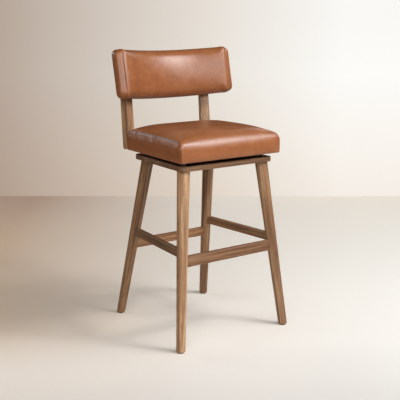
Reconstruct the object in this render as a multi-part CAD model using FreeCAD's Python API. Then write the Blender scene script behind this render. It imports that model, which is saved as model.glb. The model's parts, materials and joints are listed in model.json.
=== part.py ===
import FreeCAD, Part
import math
import os

from FreeCAD import Placement, Rotation, Vector

# Upholstered bar stool with a footrest and a turning seat. Millimetres, +Z up, the front faces -Y.
# The origin is on the floor, in the middle of the stool's width and depth.

# ---- where the seat turns
SWIVEL_Y = -30.11            # the seat's vertical turning axis, in front of the middle of the depth

# ---- clearances between mating pieces
GLUE_CLEAR = 0.1             # round a tenon in its mortise, and a screw in its hole
RUN_CLEAR = 0.08             # radial clearance of the turning pieces
SOFT_CLEAR = 0.3             # between padding and the hard pieces beside it

# ---- base board, a trapezoid that carries the swivel
LEG_HEIGHT = 660.0           # floor to the underside of the board
BOARD_THICK = 18.4
BOARD_HALF_FRONT = 213.3
BOARD_HALF_REAR = 193.0
BOARD_HALF_DEPTH = 181.6
BOARD_CORNER = 25.0
BOARD_EASE = 2.0

# ---- legs: round, tapered, splayed
LEG_TOP_RADIUS = 23.9
LEG_FOOT_RADIUS = 16.9
LEG_FOOT_EASE = 3.0
FRONT_LEG_INSET = 37.2       # leg axis behind the board's front edge
FRONT_LEG_SIDE_INSET = 30.2  # leg axis inside the board's side edge
FRONT_LEG_SPLAY = 65.8       # foot further out sideways than the top
FRONT_LEG_RAKE = 73.5        # foot further forward than the top
REAR_LEG_INSET = 30.8
REAR_LEG_SIDE_INSET = 47.7
REAR_LEG_SPLAY = 64.5
REAR_LEG_RAKE = 127.7        # foot further back than the top

# ---- glides nailed under the legs
GLIDE_RADIUS = 12.5
GLIDE_THICK = 3.5
GLIDE_EASE = 1.0
NAIL_RADIUS = 1.4
NAIL_HEAD_RADIUS = 4.0
NAIL_HEAD_THICK = 1.0
NAIL_LENGTH = 16.0

# ---- stretchers: flat rails tenoned into the legs
STRETCHER_THICK = 20.0
STRETCHER_EASE = 2.5
FRONT_STRETCHER_Z = 308.9    # underside of the footrest
FRONT_STRETCHER_HEIGHT = 40.5
REAR_STRETCHER_Z = 286.9
REAR_STRETCHER_HEIGHT = 35.2
SIDE_STRETCHER_Z = 343.2
SIDE_STRETCHER_HEIGHT = 31.0
TENON_THICK = 10.0
TENON_SHOULDER = 5.0         # the tenon is this much lower than the rail, above and below
TENON_PAST_AXIS = 6.0        # how far a tenon reaches past the leg's axis

# ---- hanger bolts that hold the legs to the board
HANGER_RADIUS = 4.0
HANGER_IN_LEG = 45.0
HANGER_ABOVE_NUT = 1.5
WASHER_RADIUS = 12.0
WASHER_THICK = 1.6
NUT_FLATS = 13.0
NUT_HEIGHT = 6.5

# ---- swivel: two pressed plates, a ring of balls and a centre rivet
SWIVEL_HEIGHT = 16.0
PLATE_SIDE = 150.0
PLATE_CORNER = 12.0
PLATE_THICK = 2.5
PLATE_SCREW_OFFSET = 62.0    # screw from the plate's centre, along x and y
RACE_RADIUS = 50.0           # circle of the balls' centres
RACE_WIDTH = 14.0
RACE_GAP = 2.4               # between the two raised races
BALL_RADIUS = 3.0
BALL_COUNT = 20
CAGE_THICK = 1.2
CAGE_WIDTH = 11.0
RIVET_RADIUS = 8.0
RIVET_HEAD_RADIUS = 13.0
RIVET_HEAD_THICK = 2.5
CENTRE_BORE_RADIUS = 20.0    # room for the rivet's heads in both boards
ACCESS_HOLE_RADIUS = 8.0     # for driving the upper screws from below
PLATE_SCREW_RADIUS = 2.2
PLATE_SCREW_LENGTH = 12.0    # in the wood
SCREW_HEAD_RADIUS = 4.5
SCREW_HEAD_HEIGHT = 2.6

# ---- seat: board, rear rail, foam, leather cover
SEAT_HALF_FRONT = 231.0
SEAT_HALF_REAR = 211.0
SEAT_FRONT = 201.6           # front face of the cushion, ahead of the turning axis
SEAT_REAR = 202.0            # rear face of the cushion, behind the turning axis
SEAT_CORNER = 10.0
SEAT_CORNER_GROWTH = 0.6     # plan corners get rounder towards the crown
SEAT_CORNER_LIMIT = 0.9      # largest plan corner, as a share of the outline's half depth
SEAT_THICK = 81.0            # underside of the cover to the top of its edge
SEAT_EDGE_ROUND = 24.0
SEAT_CROWN = 27.0
SEAT_CROWN_POWER = 4.5       # the crown rises near the edge and is flat in the middle
SEAT_CROWN_REACH = 0.8       # where the crown ends and the flat begins, from edge to middle
SEAT_BOTTOM_ROUND = 3.0
SEAT_ROUND_STEPS = 6
SEAT_CROWN_STEPS = 7
COVER_THICK = 1.5
COVER_LIP = 28.0             # width of the cover turned under the board
SEAT_BOARD_THICK = 15.0
SEAT_BOARD_INSET = 5.0
DUST_COVER_THICK = 0.8
DUST_COVER_GAP = 2.0
STAPLE_LENGTH = 10.0
STAPLE_WIDTH = 1.4
STAPLE_HEIGHT = 0.7
STAPLES_PER_SIDE = 8
RAIL_END_INSET = 15.0        # end of the rail inside the rear corner of the cushion
RAIL_HEIGHT = 40.0
RAIL_DEPTH = 28.0
RAIL_INSET = 5.0             # rear face of the rail inside the rear face of the cushion

# ---- back pad: bent plywood panel, foam, leather cover
BACK_RADIUS = 444.0          # of the pad's front face
BACK_HALF_WIDTH = 247.0      # middle to the end of the front face, straight across
BACK_THICK = 63.0
BACK_HEIGHT = 188.6
BACK_ROUND = 28.0
BACK_TILT = 12.0
BACK_FRONT = 214.0           # middle of the front face, behind the turning axis
BACK_ABOVE_SEAT = 209.3      # middle of the pad above the top of the seat's edge
PANEL_DEPTH = 38.0           # front face of the panel behind the pad's front face
PANEL_THICK = 12.0
PANEL_INSET = 28.0           # edges of the panel inside the edges of the pad

# ---- back posts
POST_SIDE_INSET = 25.3       # middle of a post inside the rear corner of the cushion
POST_WIDTH_TOP = 36.0
POST_WIDTH_FOOT = 41.0
POST_DEPTH = 34.0
POST_CORNER = 4.0
POST_FOOT_ROUND = 12.0
POST_FOOT_CREASE = 0.8       # the round is this much larger than one that would blend in
POST_TOP_EASE = 3.0
POST_BELOW_TOP = 34.0        # upper end of the post below the pad's upper edge
LANDING_ABOVE_RAIL = 8.0
POST_BOLT_RADIUS = 4.0
POST_BOLT_SPACING = 24.0
POST_BOLT_GRIP = 26.0        # wood between the seat and the bolt's washer
POST_BOLT_HEAD_RADIUS = 6.5
POST_BOLT_HEAD_HEIGHT = 8.0
POST_WASHER_RADIUS = 8.5
POST_COUNTERBORE_RADIUS = 9.0
INSERT_RADIUS = 5.5
INSERT_LENGTH = 16.0
BACK_BOLT_RADIUS = 3.0
BACK_BOLT_SPACING = 70.0
BACK_BOLT_HEAD_RADIUS = 6.5
BACK_BOLT_HEAD_HEIGHT = 5.0
BACK_COUNTERBORE_RADIUS = 7.5
BACK_COUNTERBORE = 9.0
TEE_NUT_RADIUS = 9.0
TEE_NUT_FLANGE = 1.2
TEE_NUT_BARREL_RADIUS = 4.2

# ---- heights and places that follow from the values above
BOARD_TOP = LEG_HEIGHT + BOARD_THICK
SEAT_BOARD_Z = BOARD_TOP + SWIVEL_HEIGHT
SEAT_UNDER = SEAT_BOARD_Z - COVER_THICK
SEAT_TOP = SEAT_UNDER + SEAT_THICK
SEAT_HALF_DEPTH = (SEAT_FRONT + SEAT_REAR) / 2
SEAT_BOARD_TOP = SEAT_BOARD_Z + SEAT_BOARD_THICK
RAIL_TOP = SEAT_BOARD_TOP + RAIL_HEIGHT
RAIL_REAR = SEAT_REAR - RAIL_INSET
RACE_MID_Z = BOARD_TOP + SWIVEL_HEIGHT / 2
RACE_HEIGHT = (SWIVEL_HEIGHT - RACE_GAP) / 2 - PLATE_THICK
RAIL_LENGTH = 2 * (SEAT_HALF_REAR - RAIL_END_INSET)
BACK_MID_Z = SEAT_TOP + BACK_ABOVE_SEAT
BACK_HALF_ANGLE = math.degrees(math.asin(BACK_HALF_WIDTH / BACK_RADIUS))
POST_X = SEAT_HALF_REAR - POST_SIDE_INSET
PANEL_FRONT_RADIUS = BACK_RADIUS + PANEL_DEPTH
PANEL_REAR_RADIUS = PANEL_FRONT_RADIUS + PANEL_THICK
POST_LINE_RADIUS = BACK_RADIUS + BACK_THICK + SOFT_CLEAR + POST_DEPTH / 2
POST_ANGLE = math.degrees(math.asin(POST_X / POST_LINE_RADIUS))
BACK_BOLT_GRIP = BACK_THICK - PANEL_DEPTH + SOFT_CLEAR + POST_DEPTH - BACK_COUNTERBORE
UP = Vector(0, 0, 1)
PAST = 40.0                  # how far a cutting shape runs past what it cuts


# ---------------------------------------------------------------- shape helpers
def rounded_polygon(points, radius, z=0.0):
    """A closed wire of straight sides with an arc of one radius at each corner."""
    corners = [Vector(x, y, z) for x, y in points]
    arcs = []
    for index, corner in enumerate(corners):
        to_last = (corners[index - 1] - corner).normalize()
        to_next = (corners[(index + 1) % len(corners)] - corner).normalize()
        half = to_last.getAngle(to_next) / 2
        reach = radius / math.tan(half)
        inward = (to_last + to_next).normalize()
        centre = corner + inward * (radius / math.sin(half))
        arcs.append(Part.Arc(corner + to_last * reach, centre - inward * radius,
                             corner + to_next * reach))
    edges = []
    for index, arc in enumerate(arcs):
        following = arcs[(index + 1) % len(arcs)]
        edges.append(arc.toShape())
        edges.append(Part.makeLine(arc.EndPoint, following.StartPoint))
    return Part.Wire(edges)


def trapezoid(half_front, half_rear, front, rear):
    """Corner points of a plan that is wider at the front, about the turning axis."""
    return [(-half_front, -front), (half_front, -front), (half_rear, rear), (-half_rear, rear)]


def rectangle(width, depth):
    """Corner points of a centred rectangle."""
    return trapezoid(width / 2, width / 2, depth / 2, depth / 2)


def prism(wire, height):
    return Part.Face(wire).extrude(UP * height)


def cylinder(radius, height, foot, axis=UP):
    return Part.makeCylinder(radius, height, foot, axis)


def tube(outer, inner, height, foot, axis=UP):
    return cylinder(outer, height, foot, axis).cut(cylinder(inner, height, foot, axis))


def mirrored(shape):
    """The same piece on the other side of the stool."""
    return shape.mirror(Vector(0, 0, 0), Vector(1, 0, 0))


def both_sides(shape):
    return [shape, mirrored(shape)]


def group(shapes):
    return Part.makeCompound(shapes)


def cut_all(shape, tools):
    for tool in tools:
        shape = shape.cut(tool)
    return shape


def ease_edges(shape, radius, wanted):
    """Round those edges of a shape that pass a test."""
    return shape.makeFillet(radius, [edge for edge in shape.Edges if wanted(edge)])


def edge_is_level_at(z):
    return lambda edge: abs(edge.BoundBox.ZMin - z) < 1e-4 and abs(edge.BoundBox.ZMax - z) < 1e-4


# ---------------------------------------------------------------- legs
def board_half_width(y):
    """Half the base board's width at a distance behind its middle."""
    share = (y + BOARD_HALF_DEPTH) / (2 * BOARD_HALF_DEPTH)
    return BOARD_HALF_FRONT + share * (BOARD_HALF_REAR - BOARD_HALF_FRONT)


def leg_ends(end):
    """Axis of a right-hand leg: its point on the floor and its point under the board."""
    if end == "front":
        top_y = FRONT_LEG_INSET - BOARD_HALF_DEPTH
        top = Vector(board_half_width(top_y) - FRONT_LEG_SIDE_INSET, top_y, LEG_HEIGHT)
        return top + Vector(FRONT_LEG_SPLAY, -FRONT_LEG_RAKE, -LEG_HEIGHT), top
    top_y = BOARD_HALF_DEPTH - REAR_LEG_INSET
    top = Vector(board_half_width(top_y) - REAR_LEG_SIDE_INSET, top_y, LEG_HEIGHT)
    return top + Vector(REAR_LEG_SPLAY, REAR_LEG_RAKE, -LEG_HEIGHT), top


def leg_axis(end, z):
    foot, top = leg_ends(end)
    return foot + (top - foot) * (z / LEG_HEIGHT)


def leg_cone(end, grow=0.0):
    """The tapered round of a leg, run past both of its ends."""
    foot, top = leg_ends(end)
    axis = top - foot
    length = axis.Length
    slope = (LEG_TOP_RADIUS - LEG_FOOT_RADIUS) / length
    start = foot - axis * (PAST / length)
    return Part.makeCone(LEG_FOOT_RADIUS - slope * PAST + grow, LEG_TOP_RADIUS + slope * PAST + grow,
                         length + 2 * PAST, start, axis)


def leg(end):
    """A right-hand leg with its mortises, its bolt hole and its nail hole."""
    slab_side = 4 * BOARD_HALF_FRONT
    slab = Part.makeBox(slab_side, slab_side, LEG_HEIGHT - GLIDE_THICK,
                        Vector(-slab_side / 2, -slab_side / 2, GLIDE_THICK))
    shape = leg_cone(end).common(slab)
    shape = ease_edges(shape, LEG_FOOT_EASE, edge_is_level_at(GLIDE_THICK))
    cross_rail = tenon_block("front" if end == "front" else "rear", GLUE_CLEAR)
    side_rail = tenon_block("side", GLUE_CLEAR)
    bolt_hole = cylinder(HANGER_RADIUS + GLUE_CLEAR, HANGER_IN_LEG, hanger_foot(end))
    nail_hole = cylinder(NAIL_RADIUS + GLUE_CLEAR, NAIL_LENGTH, leg_axis(end, GLIDE_THICK))
    return cut_all(shape, [cross_rail, side_rail, bolt_hole, nail_hole])


def hanger_foot(end):
    """Lower end of the upright hanger bolt in a leg."""
    return leg_ends(end)[1] - UP * HANGER_IN_LEG


# ---------------------------------------------------------------- stretchers
def stretcher_span(name):
    """Underside height, rail height and the two leg axes that a stretcher joins."""
    if name == "side":
        middle = SIDE_STRETCHER_Z + SIDE_STRETCHER_HEIGHT / 2
        return SIDE_STRETCHER_Z, SIDE_STRETCHER_HEIGHT, leg_axis("front", middle), leg_axis("rear", middle)
    low, height = FRONT_STRETCHER_Z, FRONT_STRETCHER_HEIGHT
    if name == "rear":
        low, height = REAR_STRETCHER_Z, REAR_STRETCHER_HEIGHT
    right = leg_axis(name, low + height / 2)
    return low, height, Vector(-right.x, right.y, right.z), right


def rail_block(name, past, thick, shoulder):
    """A straight bar along a stretcher, from leg axis to leg axis."""
    low, height, start, end = stretcher_span(name)
    along = Vector(end.x - start.x, end.y - start.y, 0)
    length = along.Length + 2 * past
    bar = Part.makeBox(length, thick, height - 2 * shoulder, Vector(-past, -thick / 2, 0))
    turn = Rotation(Vector(1, 0, 0), along)
    bar.Placement = Placement(Vector(start.x, start.y, low + shoulder), turn)
    return bar


def tenon_block(name, clear=0.0):
    return rail_block(name, TENON_PAST_AXIS + clear, TENON_THICK + 2 * clear, TENON_SHOULDER - clear)


def stretcher(name):
    """A rail with eased long edges, shoulders coped to the round legs, and a tenon at each end."""
    bar = rail_block(name, 0.0, STRETCHER_THICK, 0.0)
    length = stretcher_span(name)[3].sub(stretcher_span(name)[2]).Length
    bar = ease_edges(bar, STRETCHER_EASE, lambda edge: abs(edge.Length - length) < 1e-3)
    if name == "side":
        legs = [leg_cone("front", GLUE_CLEAR), leg_cone("rear", GLUE_CLEAR)]
    else:
        legs = both_sides(leg_cone(name, GLUE_CLEAR))
    return cut_all(bar, legs).fuse(tenon_block(name)).removeSplitter()


# ---------------------------------------------------------------- base fasteners and glides
def foot_glide(end):
    foot = leg_axis(end, GLIDE_THICK)
    foot.z = 0
    glide = ease_edges(cylinder(GLIDE_RADIUS, GLIDE_THICK, foot), GLIDE_EASE, edge_is_level_at(0.0))
    floor = foot + UP * (GLIDE_THICK - NAIL_HEAD_THICK)
    recess = cylinder(NAIL_HEAD_RADIUS + GLUE_CLEAR, NAIL_HEAD_THICK, floor)
    return glide.cut(recess)


def glide_nail(end):
    foot = leg_axis(end, GLIDE_THICK)
    head = cylinder(NAIL_HEAD_RADIUS, NAIL_HEAD_THICK, foot - UP * NAIL_HEAD_THICK)
    return head.fuse(cylinder(NAIL_RADIUS, NAIL_LENGTH, foot)).removeSplitter()


def hanger_bolt(end):
    above_board = WASHER_THICK + NUT_HEIGHT + HANGER_ABOVE_NUT
    return cylinder(HANGER_RADIUS, HANGER_IN_LEG + BOARD_THICK + above_board, hanger_foot(end))


def hanger_washer(end):
    foot = leg_ends(end)[1] + UP * BOARD_THICK
    return tube(WASHER_RADIUS, HANGER_RADIUS + GLUE_CLEAR, WASHER_THICK, foot)


def hanger_nut(end):
    foot = leg_ends(end)[1] + UP * (BOARD_THICK + WASHER_THICK)
    corner = NUT_FLATS / 2 / math.cos(math.radians(30))
    hexagon = Part.makePolygon([foot + Vector(corner * math.cos(math.radians(60 * k)),
                                              corner * math.sin(math.radians(60 * k)), 0) for k in range(7)])
    return prism(hexagon, NUT_HEIGHT).cut(cylinder(HANGER_RADIUS + GLUE_CLEAR, NUT_HEIGHT, foot))


def at_each_leg(make):
    """One piece at every leg, as a group."""
    return group([piece for end in ("front", "rear") for piece in both_sides(make(end))])


def base_board():
    plan = trapezoid(BOARD_HALF_FRONT, BOARD_HALF_REAR, BOARD_HALF_DEPTH, BOARD_HALF_DEPTH)
    board = prism(rounded_polygon(plan, BOARD_CORNER, LEG_HEIGHT), BOARD_THICK)
    board = ease_edges(board, BOARD_EASE, lambda edge: edge_is_level_at(LEG_HEIGHT)(edge)
                       or edge_is_level_at(BOARD_TOP)(edge))
    holes = [cylinder(CENTRE_BORE_RADIUS, BOARD_THICK, UP * LEG_HEIGHT)]
    access_radius = PLATE_SCREW_OFFSET * math.sqrt(2)
    holes.append(cylinder(ACCESS_HOLE_RADIUS, BOARD_THICK, Vector(0, access_radius, LEG_HEIGHT)))
    for end in ("front", "rear"):
        holes += both_sides(cylinder(HANGER_RADIUS + GLUE_CLEAR, BOARD_THICK, leg_ends(end)[1]))
    for x, y in plate_screw_places():
        foot = Vector(x, y, BOARD_TOP - PLATE_SCREW_LENGTH)
        holes.append(cylinder(PLATE_SCREW_RADIUS + GLUE_CLEAR, PLATE_SCREW_LENGTH, foot))
    return cut_all(board, holes)


# ---------------------------------------------------------------- swivel
def plate_screw_places():
    reach = PLATE_SCREW_OFFSET
    return [(-reach, -reach), (reach, -reach), (reach, reach), (-reach, reach)]


def ball_places():
    step = 2 * math.pi / BALL_COUNT
    return [Vector(RACE_RADIUS * math.cos(k * step), RACE_RADIUS * math.sin(k * step), RACE_MID_Z)
            for k in range(BALL_COUNT)]


def swivel_plate(upper):
    """A square plate with a raised, grooved race, four screw holes and a hole for the rivet."""
    low = SEAT_BOARD_Z - PLATE_THICK if upper else BOARD_TOP
    race_low = low - RACE_HEIGHT if upper else low + PLATE_THICK
    plate = prism(rounded_polygon(rectangle(PLATE_SIDE, PLATE_SIDE), PLATE_CORNER, low), PLATE_THICK)
    race = tube(RACE_RADIUS + RACE_WIDTH / 2, RACE_RADIUS - RACE_WIDTH / 2, RACE_HEIGHT, UP * race_low)
    plate = plate.fuse(race).removeSplitter()
    rivet_clear = RUN_CLEAR if upper else GLUE_CLEAR
    cuts = [Part.makeTorus(RACE_RADIUS, BALL_RADIUS + RUN_CLEAR, UP * RACE_MID_Z),
            cylinder(RIVET_RADIUS + rivet_clear, PLATE_THICK, UP * low)]
    for x, y in plate_screw_places():
        cuts.append(cylinder(PLATE_SCREW_RADIUS + GLUE_CLEAR, PLATE_THICK, Vector(x, y, low)))
    return cut_all(plate, cuts)


def plate_screws(upper):
    """Pan-head screws through a swivel plate into the wood."""
    screws = []
    direction = UP if upper else -UP
    seat = SEAT_BOARD_Z - PLATE_THICK if upper else BOARD_TOP + PLATE_THICK
    for x, y in plate_screw_places():
        place = Vector(x, y, seat)
        head = cylinder(SCREW_HEAD_RADIUS, SCREW_HEAD_HEIGHT, place, -direction)
        shank = cylinder(PLATE_SCREW_RADIUS, PLATE_THICK + PLATE_SCREW_LENGTH, place, direction)
        screws.append(head.fuse(shank).removeSplitter())
    return group(screws)


def ball_cage():
    low = RACE_MID_Z - CAGE_THICK / 2
    cage = tube(RACE_RADIUS + CAGE_WIDTH / 2, RACE_RADIUS - CAGE_WIDTH / 2, CAGE_THICK, UP * low)
    pockets = [cylinder(BALL_RADIUS + RUN_CLEAR, CAGE_THICK, Vector(place.x, place.y, low))
               for place in ball_places()]
    return cut_all(cage, pockets)


def swivel_balls():
    return group([Part.makeSphere(BALL_RADIUS, place) for place in ball_places()])


def centre_rivet():
    """Holds the two plates together: one head under each board's side of the swivel."""
    low = UP * (BOARD_TOP - RIVET_HEAD_THICK)
    top = UP * (SEAT_BOARD_Z + RUN_CLEAR)
    shank = cylinder(RIVET_RADIUS, top.z - low.z, low)
    heads = [cylinder(RIVET_HEAD_RADIUS, RIVET_HEAD_THICK, low),
             cylinder(RIVET_HEAD_RADIUS, RIVET_HEAD_THICK, top)]
    return shank.fuse(heads).removeSplitter()


# ---------------------------------------------------------------- seat
def seat_plan(inset, z, corner=None):
    """The cushion's rounded outline, drawn in by an inset."""
    plan = trapezoid(SEAT_HALF_FRONT - inset, SEAT_HALF_REAR - inset, SEAT_FRONT - inset, SEAT_REAR - inset)
    widest = SEAT_CORNER_LIMIT * (SEAT_HALF_DEPTH - inset)
    radius = SEAT_CORNER + SEAT_CORNER_GROWTH * inset if corner is None else corner
    return rounded_polygon(plan, min(radius, widest), z)


def crown_at(inset):
    """How far the middle of the cushion swells above the top of its edge."""
    share = 1 - inset / SEAT_HALF_DEPTH
    return SEAT_CROWN * (1 - share ** SEAT_CROWN_POWER)


def seat_levels(skin):
    """Inset and height of each outline of the cushion, measured a skin's depth inside its surface."""
    side_top = SEAT_TOP - SEAT_EDGE_ROUND
    low = SEAT_UNDER + skin
    levels = [(SEAT_BOTTOM_ROUND + skin, low), (skin, low + SEAT_BOTTOM_ROUND), (skin, side_top)]
    for step in range(1, SEAT_ROUND_STEPS + 1):
        turn = math.radians(90) * step / SEAT_ROUND_STEPS
        inset = SEAT_EDGE_ROUND - (SEAT_EDGE_ROUND - skin) * math.cos(turn)
        levels.append((inset, side_top + (SEAT_EDGE_ROUND - skin) * math.sin(turn) + crown_at(inset)))
    middle = SEAT_CROWN_REACH * SEAT_HALF_DEPTH
    for step in range(1, SEAT_CROWN_STEPS + 1):
        inset = SEAT_EDGE_ROUND + (middle - SEAT_EDGE_ROUND) * step / SEAT_CROWN_STEPS
        levels.append((inset, SEAT_TOP - skin + crown_at(inset)))
    return levels


def seat_form(skin):
    return Part.makeLoft([seat_plan(inset, z) for inset, z in seat_levels(skin)], True, True)


def seat_bolt_holes():
    """Rods where the post bolts pass through the cushion's rear."""
    holes = []
    for z in post_bolt_heights():
        foot = Vector(POST_X, RAIL_REAR, z)
        holes += both_sides(cylinder(POST_BOLT_RADIUS + GLUE_CLEAR, PAST, foot, Vector(0, 1, 0)))
    return holes


def seat_cover():
    """Leather skin round the foam, turned under the board as a lip."""
    low = SEAT_UNDER
    opening = prism(seat_plan(COVER_LIP, low), COVER_THICK)
    shell = seat_form(0.0).cut(seat_form(COVER_THICK)).cut(opening)
    return cut_all(shell, seat_bolt_holes())


def seat_board():
    board = prism(seat_plan(SEAT_BOARD_INSET, SEAT_BOARD_Z), SEAT_BOARD_THICK)
    holes = [cylinder(CENTRE_BORE_RADIUS, SEAT_BOARD_THICK, UP * SEAT_BOARD_Z)]
    for x, y in plate_screw_places():
        foot = Vector(x, y, SEAT_BOARD_Z)
        holes.append(cylinder(PLATE_SCREW_RADIUS + GLUE_CLEAR, PLATE_SCREW_LENGTH, foot))
    return cut_all(board, holes)


def rail_bar():
    return Part.makeBox(RAIL_LENGTH, RAIL_DEPTH, RAIL_HEIGHT,
                        Vector(-RAIL_LENGTH / 2, RAIL_REAR - RAIL_DEPTH, SEAT_BOARD_TOP))


def seat_rail():
    """Hardwood rail on the seat board that the posts are bolted to."""
    holes = []
    for z in post_bolt_heights():
        tip = Vector(POST_X, RAIL_REAR - RAIL_DEPTH, z)
        wide = Vector(POST_X, RAIL_REAR - INSERT_LENGTH, z)
        holes += both_sides(cylinder(POST_BOLT_RADIUS + GLUE_CLEAR, RAIL_DEPTH, tip, Vector(0, 1, 0)))
        holes += both_sides(cylinder(INSERT_RADIUS + GLUE_CLEAR, INSERT_LENGTH, wide, Vector(0, 1, 0)))
    return cut_all(rail_bar(), holes)


def seat_foam():
    form = seat_form(COVER_THICK)
    board_room = prism(seat_plan(0.0, SEAT_UNDER, SEAT_CORNER), SEAT_BOARD_TOP - SEAT_UNDER)
    return cut_all(form.cut(board_room).cut(rail_bar()), seat_bolt_holes())


def seat_dust_cover():
    """Thin cloth under the board, inside the cover's lip and round the swivel plate."""
    low = SEAT_BOARD_Z - DUST_COVER_THICK
    sheet = prism(seat_plan(COVER_LIP + DUST_COVER_GAP, low), DUST_COVER_THICK)
    side = PLATE_SIDE + 2 * DUST_COVER_GAP
    return sheet.cut(prism(rounded_polygon(rectangle(side, side), PLATE_CORNER, low), DUST_COVER_THICK))


def cover_staples():
    """Staple crowns along the middle of the cover's lip."""
    low = SEAT_UNDER - STAPLE_HEIGHT
    inset = COVER_LIP / 2
    plan = trapezoid(SEAT_HALF_FRONT - inset, SEAT_HALF_REAR - inset, SEAT_FRONT - inset, SEAT_REAR - inset)
    corners = [Vector(x, y, low) for x, y in plan]
    staples = []
    for index, start in enumerate(corners):
        along = corners[(index + 1) % 4] - start
        turn = Rotation(Vector(1, 0, 0), along)
        for k in range(STAPLES_PER_SIDE):
            crown = Part.makeBox(STAPLE_LENGTH, STAPLE_WIDTH, STAPLE_HEIGHT,
                                 Vector(-STAPLE_LENGTH / 2, -STAPLE_WIDTH / 2, 0))
            crown.Placement = Placement(start + along * ((k + 0.5) / STAPLES_PER_SIDE), turn)
            staples.append(crown)
    return group(staples)


# ---------------------------------------------------------------- back
def back_placement():
    """From the pad's own axes (x right, y back, z up, middle of its front face) to the stool's."""
    return Placement(Vector(0, BACK_FRONT, BACK_MID_Z), Rotation(Vector(1, 0, 0), -BACK_TILT))


def curved_block(front_radius, rear_radius, half_angle, height):
    """A block bent about an upright axis in front of the pad, in the pad's own axes."""
    def point(radius, angle):
        return Vector(radius * math.sin(angle), radius * math.cos(angle) - BACK_RADIUS, -height / 2)
    reach = math.radians(half_angle)
    front = Part.Arc(point(front_radius, -reach), point(front_radius, 0), point(front_radius, reach))
    rear = Part.Arc(point(rear_radius, reach), point(rear_radius, 0), point(rear_radius, -reach))
    sides = [Part.makeLine(front.EndPoint, rear.StartPoint), Part.makeLine(rear.EndPoint, front.StartPoint)]
    return prism(Part.Wire([front.toShape(), sides[0], rear.toShape(), sides[1]]), height)


def back_form(skin):
    """The padded back's outer form, a skin's depth inside its surface, in the pad's own axes."""
    half_angle = BACK_HALF_ANGLE - math.degrees(skin / (BACK_RADIUS + BACK_THICK / 2))
    block = curved_block(BACK_RADIUS + skin, BACK_RADIUS + BACK_THICK - skin, half_angle,
                         BACK_HEIGHT - 2 * skin)
    return block.makeFillet(BACK_ROUND - skin, block.Edges)


def placed_back(shape):
    shape.Placement = back_placement().multiply(shape.Placement)
    return shape


def panel_block():
    half_angle = BACK_HALF_ANGLE - math.degrees(PANEL_INSET / BACK_RADIUS)
    return curved_block(PANEL_FRONT_RADIUS, PANEL_REAR_RADIUS, half_angle, BACK_HEIGHT - 2 * PANEL_INSET)


def post_frame(z):
    """Place and turn of the right-hand post's section behind the pad, at a height in the pad's own axes."""
    place = Vector(POST_X, POST_LINE_RADIUS * math.cos(math.radians(POST_ANGLE)) - BACK_RADIUS, z)
    return Placement(place, Rotation(UP, -POST_ANGLE))


def on_back_bolts(radius, start, length):
    """Rods along both right-hand back bolts; start and length run back from the panel's front face."""
    first = PANEL_FRONT_RADIUS - POST_LINE_RADIUS + start
    rods = []
    for z in (-BACK_BOLT_SPACING / 2, BACK_BOLT_SPACING / 2):
        rod = cylinder(radius, length, Vector(0, first, 0), Vector(0, 1, 0))
        rod.Placement = post_frame(z)
        rods.append(rod)
    return rods


def on_both_backs(rods):
    return [piece for rod in rods for piece in both_sides(rod)]


def back_panel():
    holes = on_both_backs(on_back_bolts(TEE_NUT_BARREL_RADIUS + GLUE_CLEAR, -PAST, PANEL_THICK + 2 * PAST))
    return placed_back(cut_all(panel_block(), holes))


def back_foam_front():
    front = curved_block(BACK_RADIUS - PAST, PANEL_FRONT_RADIUS, 2 * BACK_HALF_ANGLE, 2 * BACK_HEIGHT)
    pocket_front = -TEE_NUT_FLANGE - SOFT_CLEAR
    pockets = on_both_backs(on_back_bolts(TEE_NUT_RADIUS + SOFT_CLEAR, pocket_front, PANEL_DEPTH))
    return placed_back(cut_all(back_form(COVER_THICK).common(front), pockets))


def back_foam_rear():
    front = curved_block(BACK_RADIUS - PAST, PANEL_FRONT_RADIUS, 2 * BACK_HALF_ANGLE, 2 * BACK_HEIGHT)
    rear = back_form(COVER_THICK).cut(front).cut(panel_block())
    holes = on_both_backs(on_back_bolts(BACK_BOLT_RADIUS + SOFT_CLEAR, 0.0, BACK_THICK))
    return placed_back(cut_all(rear, holes))


def back_cover():
    """Leather skin of the back, with holes in its rear for the bolts."""
    holes = on_both_backs(on_back_bolts(BACK_BOLT_RADIUS + SOFT_CLEAR, 0.0, BACK_THICK))
    return placed_back(cut_all(back_form(0.0).cut(back_form(COVER_THICK)), holes))


def back_bolts():
    """Bolts from the rear of each post through the pad's cover and its panel."""
    shanks = on_back_bolts(BACK_BOLT_RADIUS, 0.0, BACK_BOLT_GRIP)
    heads = on_back_bolts(BACK_BOLT_HEAD_RADIUS, BACK_BOLT_GRIP, BACK_BOLT_HEAD_HEIGHT)
    bolts = [shank.fuse(head).removeSplitter() for shank, head in zip(shanks, heads)]
    return placed_back(group(on_both_backs(bolts)))


def back_tee_nuts():
    """Flanged nuts let into the panel's front face."""
    front = -TEE_NUT_FLANGE - GLUE_CLEAR
    flanges = on_back_bolts(TEE_NUT_RADIUS, front, TEE_NUT_FLANGE)
    barrels = on_back_bolts(TEE_NUT_BARREL_RADIUS, front, PANEL_THICK)
    bores = on_back_bolts(BACK_BOLT_RADIUS + GLUE_CLEAR, -PAST, 2 * PAST)
    nuts = [flange.fuse(barrel).removeSplitter().cut(bore)
            for flange, barrel, bore in zip(flanges, barrels, bores)]
    return placed_back(group(on_both_backs(nuts)))


# ---------------------------------------------------------------- posts
def post_bolt_heights():
    middle = SEAT_BOARD_TOP + RAIL_HEIGHT / 2
    return (middle - POST_BOLT_SPACING / 2, middle + POST_BOLT_SPACING / 2)


def post_foot_y(width):
    """Middle of the post's foot, so that its front outer corner touches the cushion's rear face."""
    turn = math.radians(POST_ANGLE)
    return SEAT_REAR + SOFT_CLEAR + width / 2 * math.sin(turn) + POST_DEPTH / 2 * math.cos(turn)


def post_section(width, depth, frame):
    wire = rounded_polygon(rectangle(width, depth), POST_CORNER)
    wire.Placement = frame
    return wire


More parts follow.
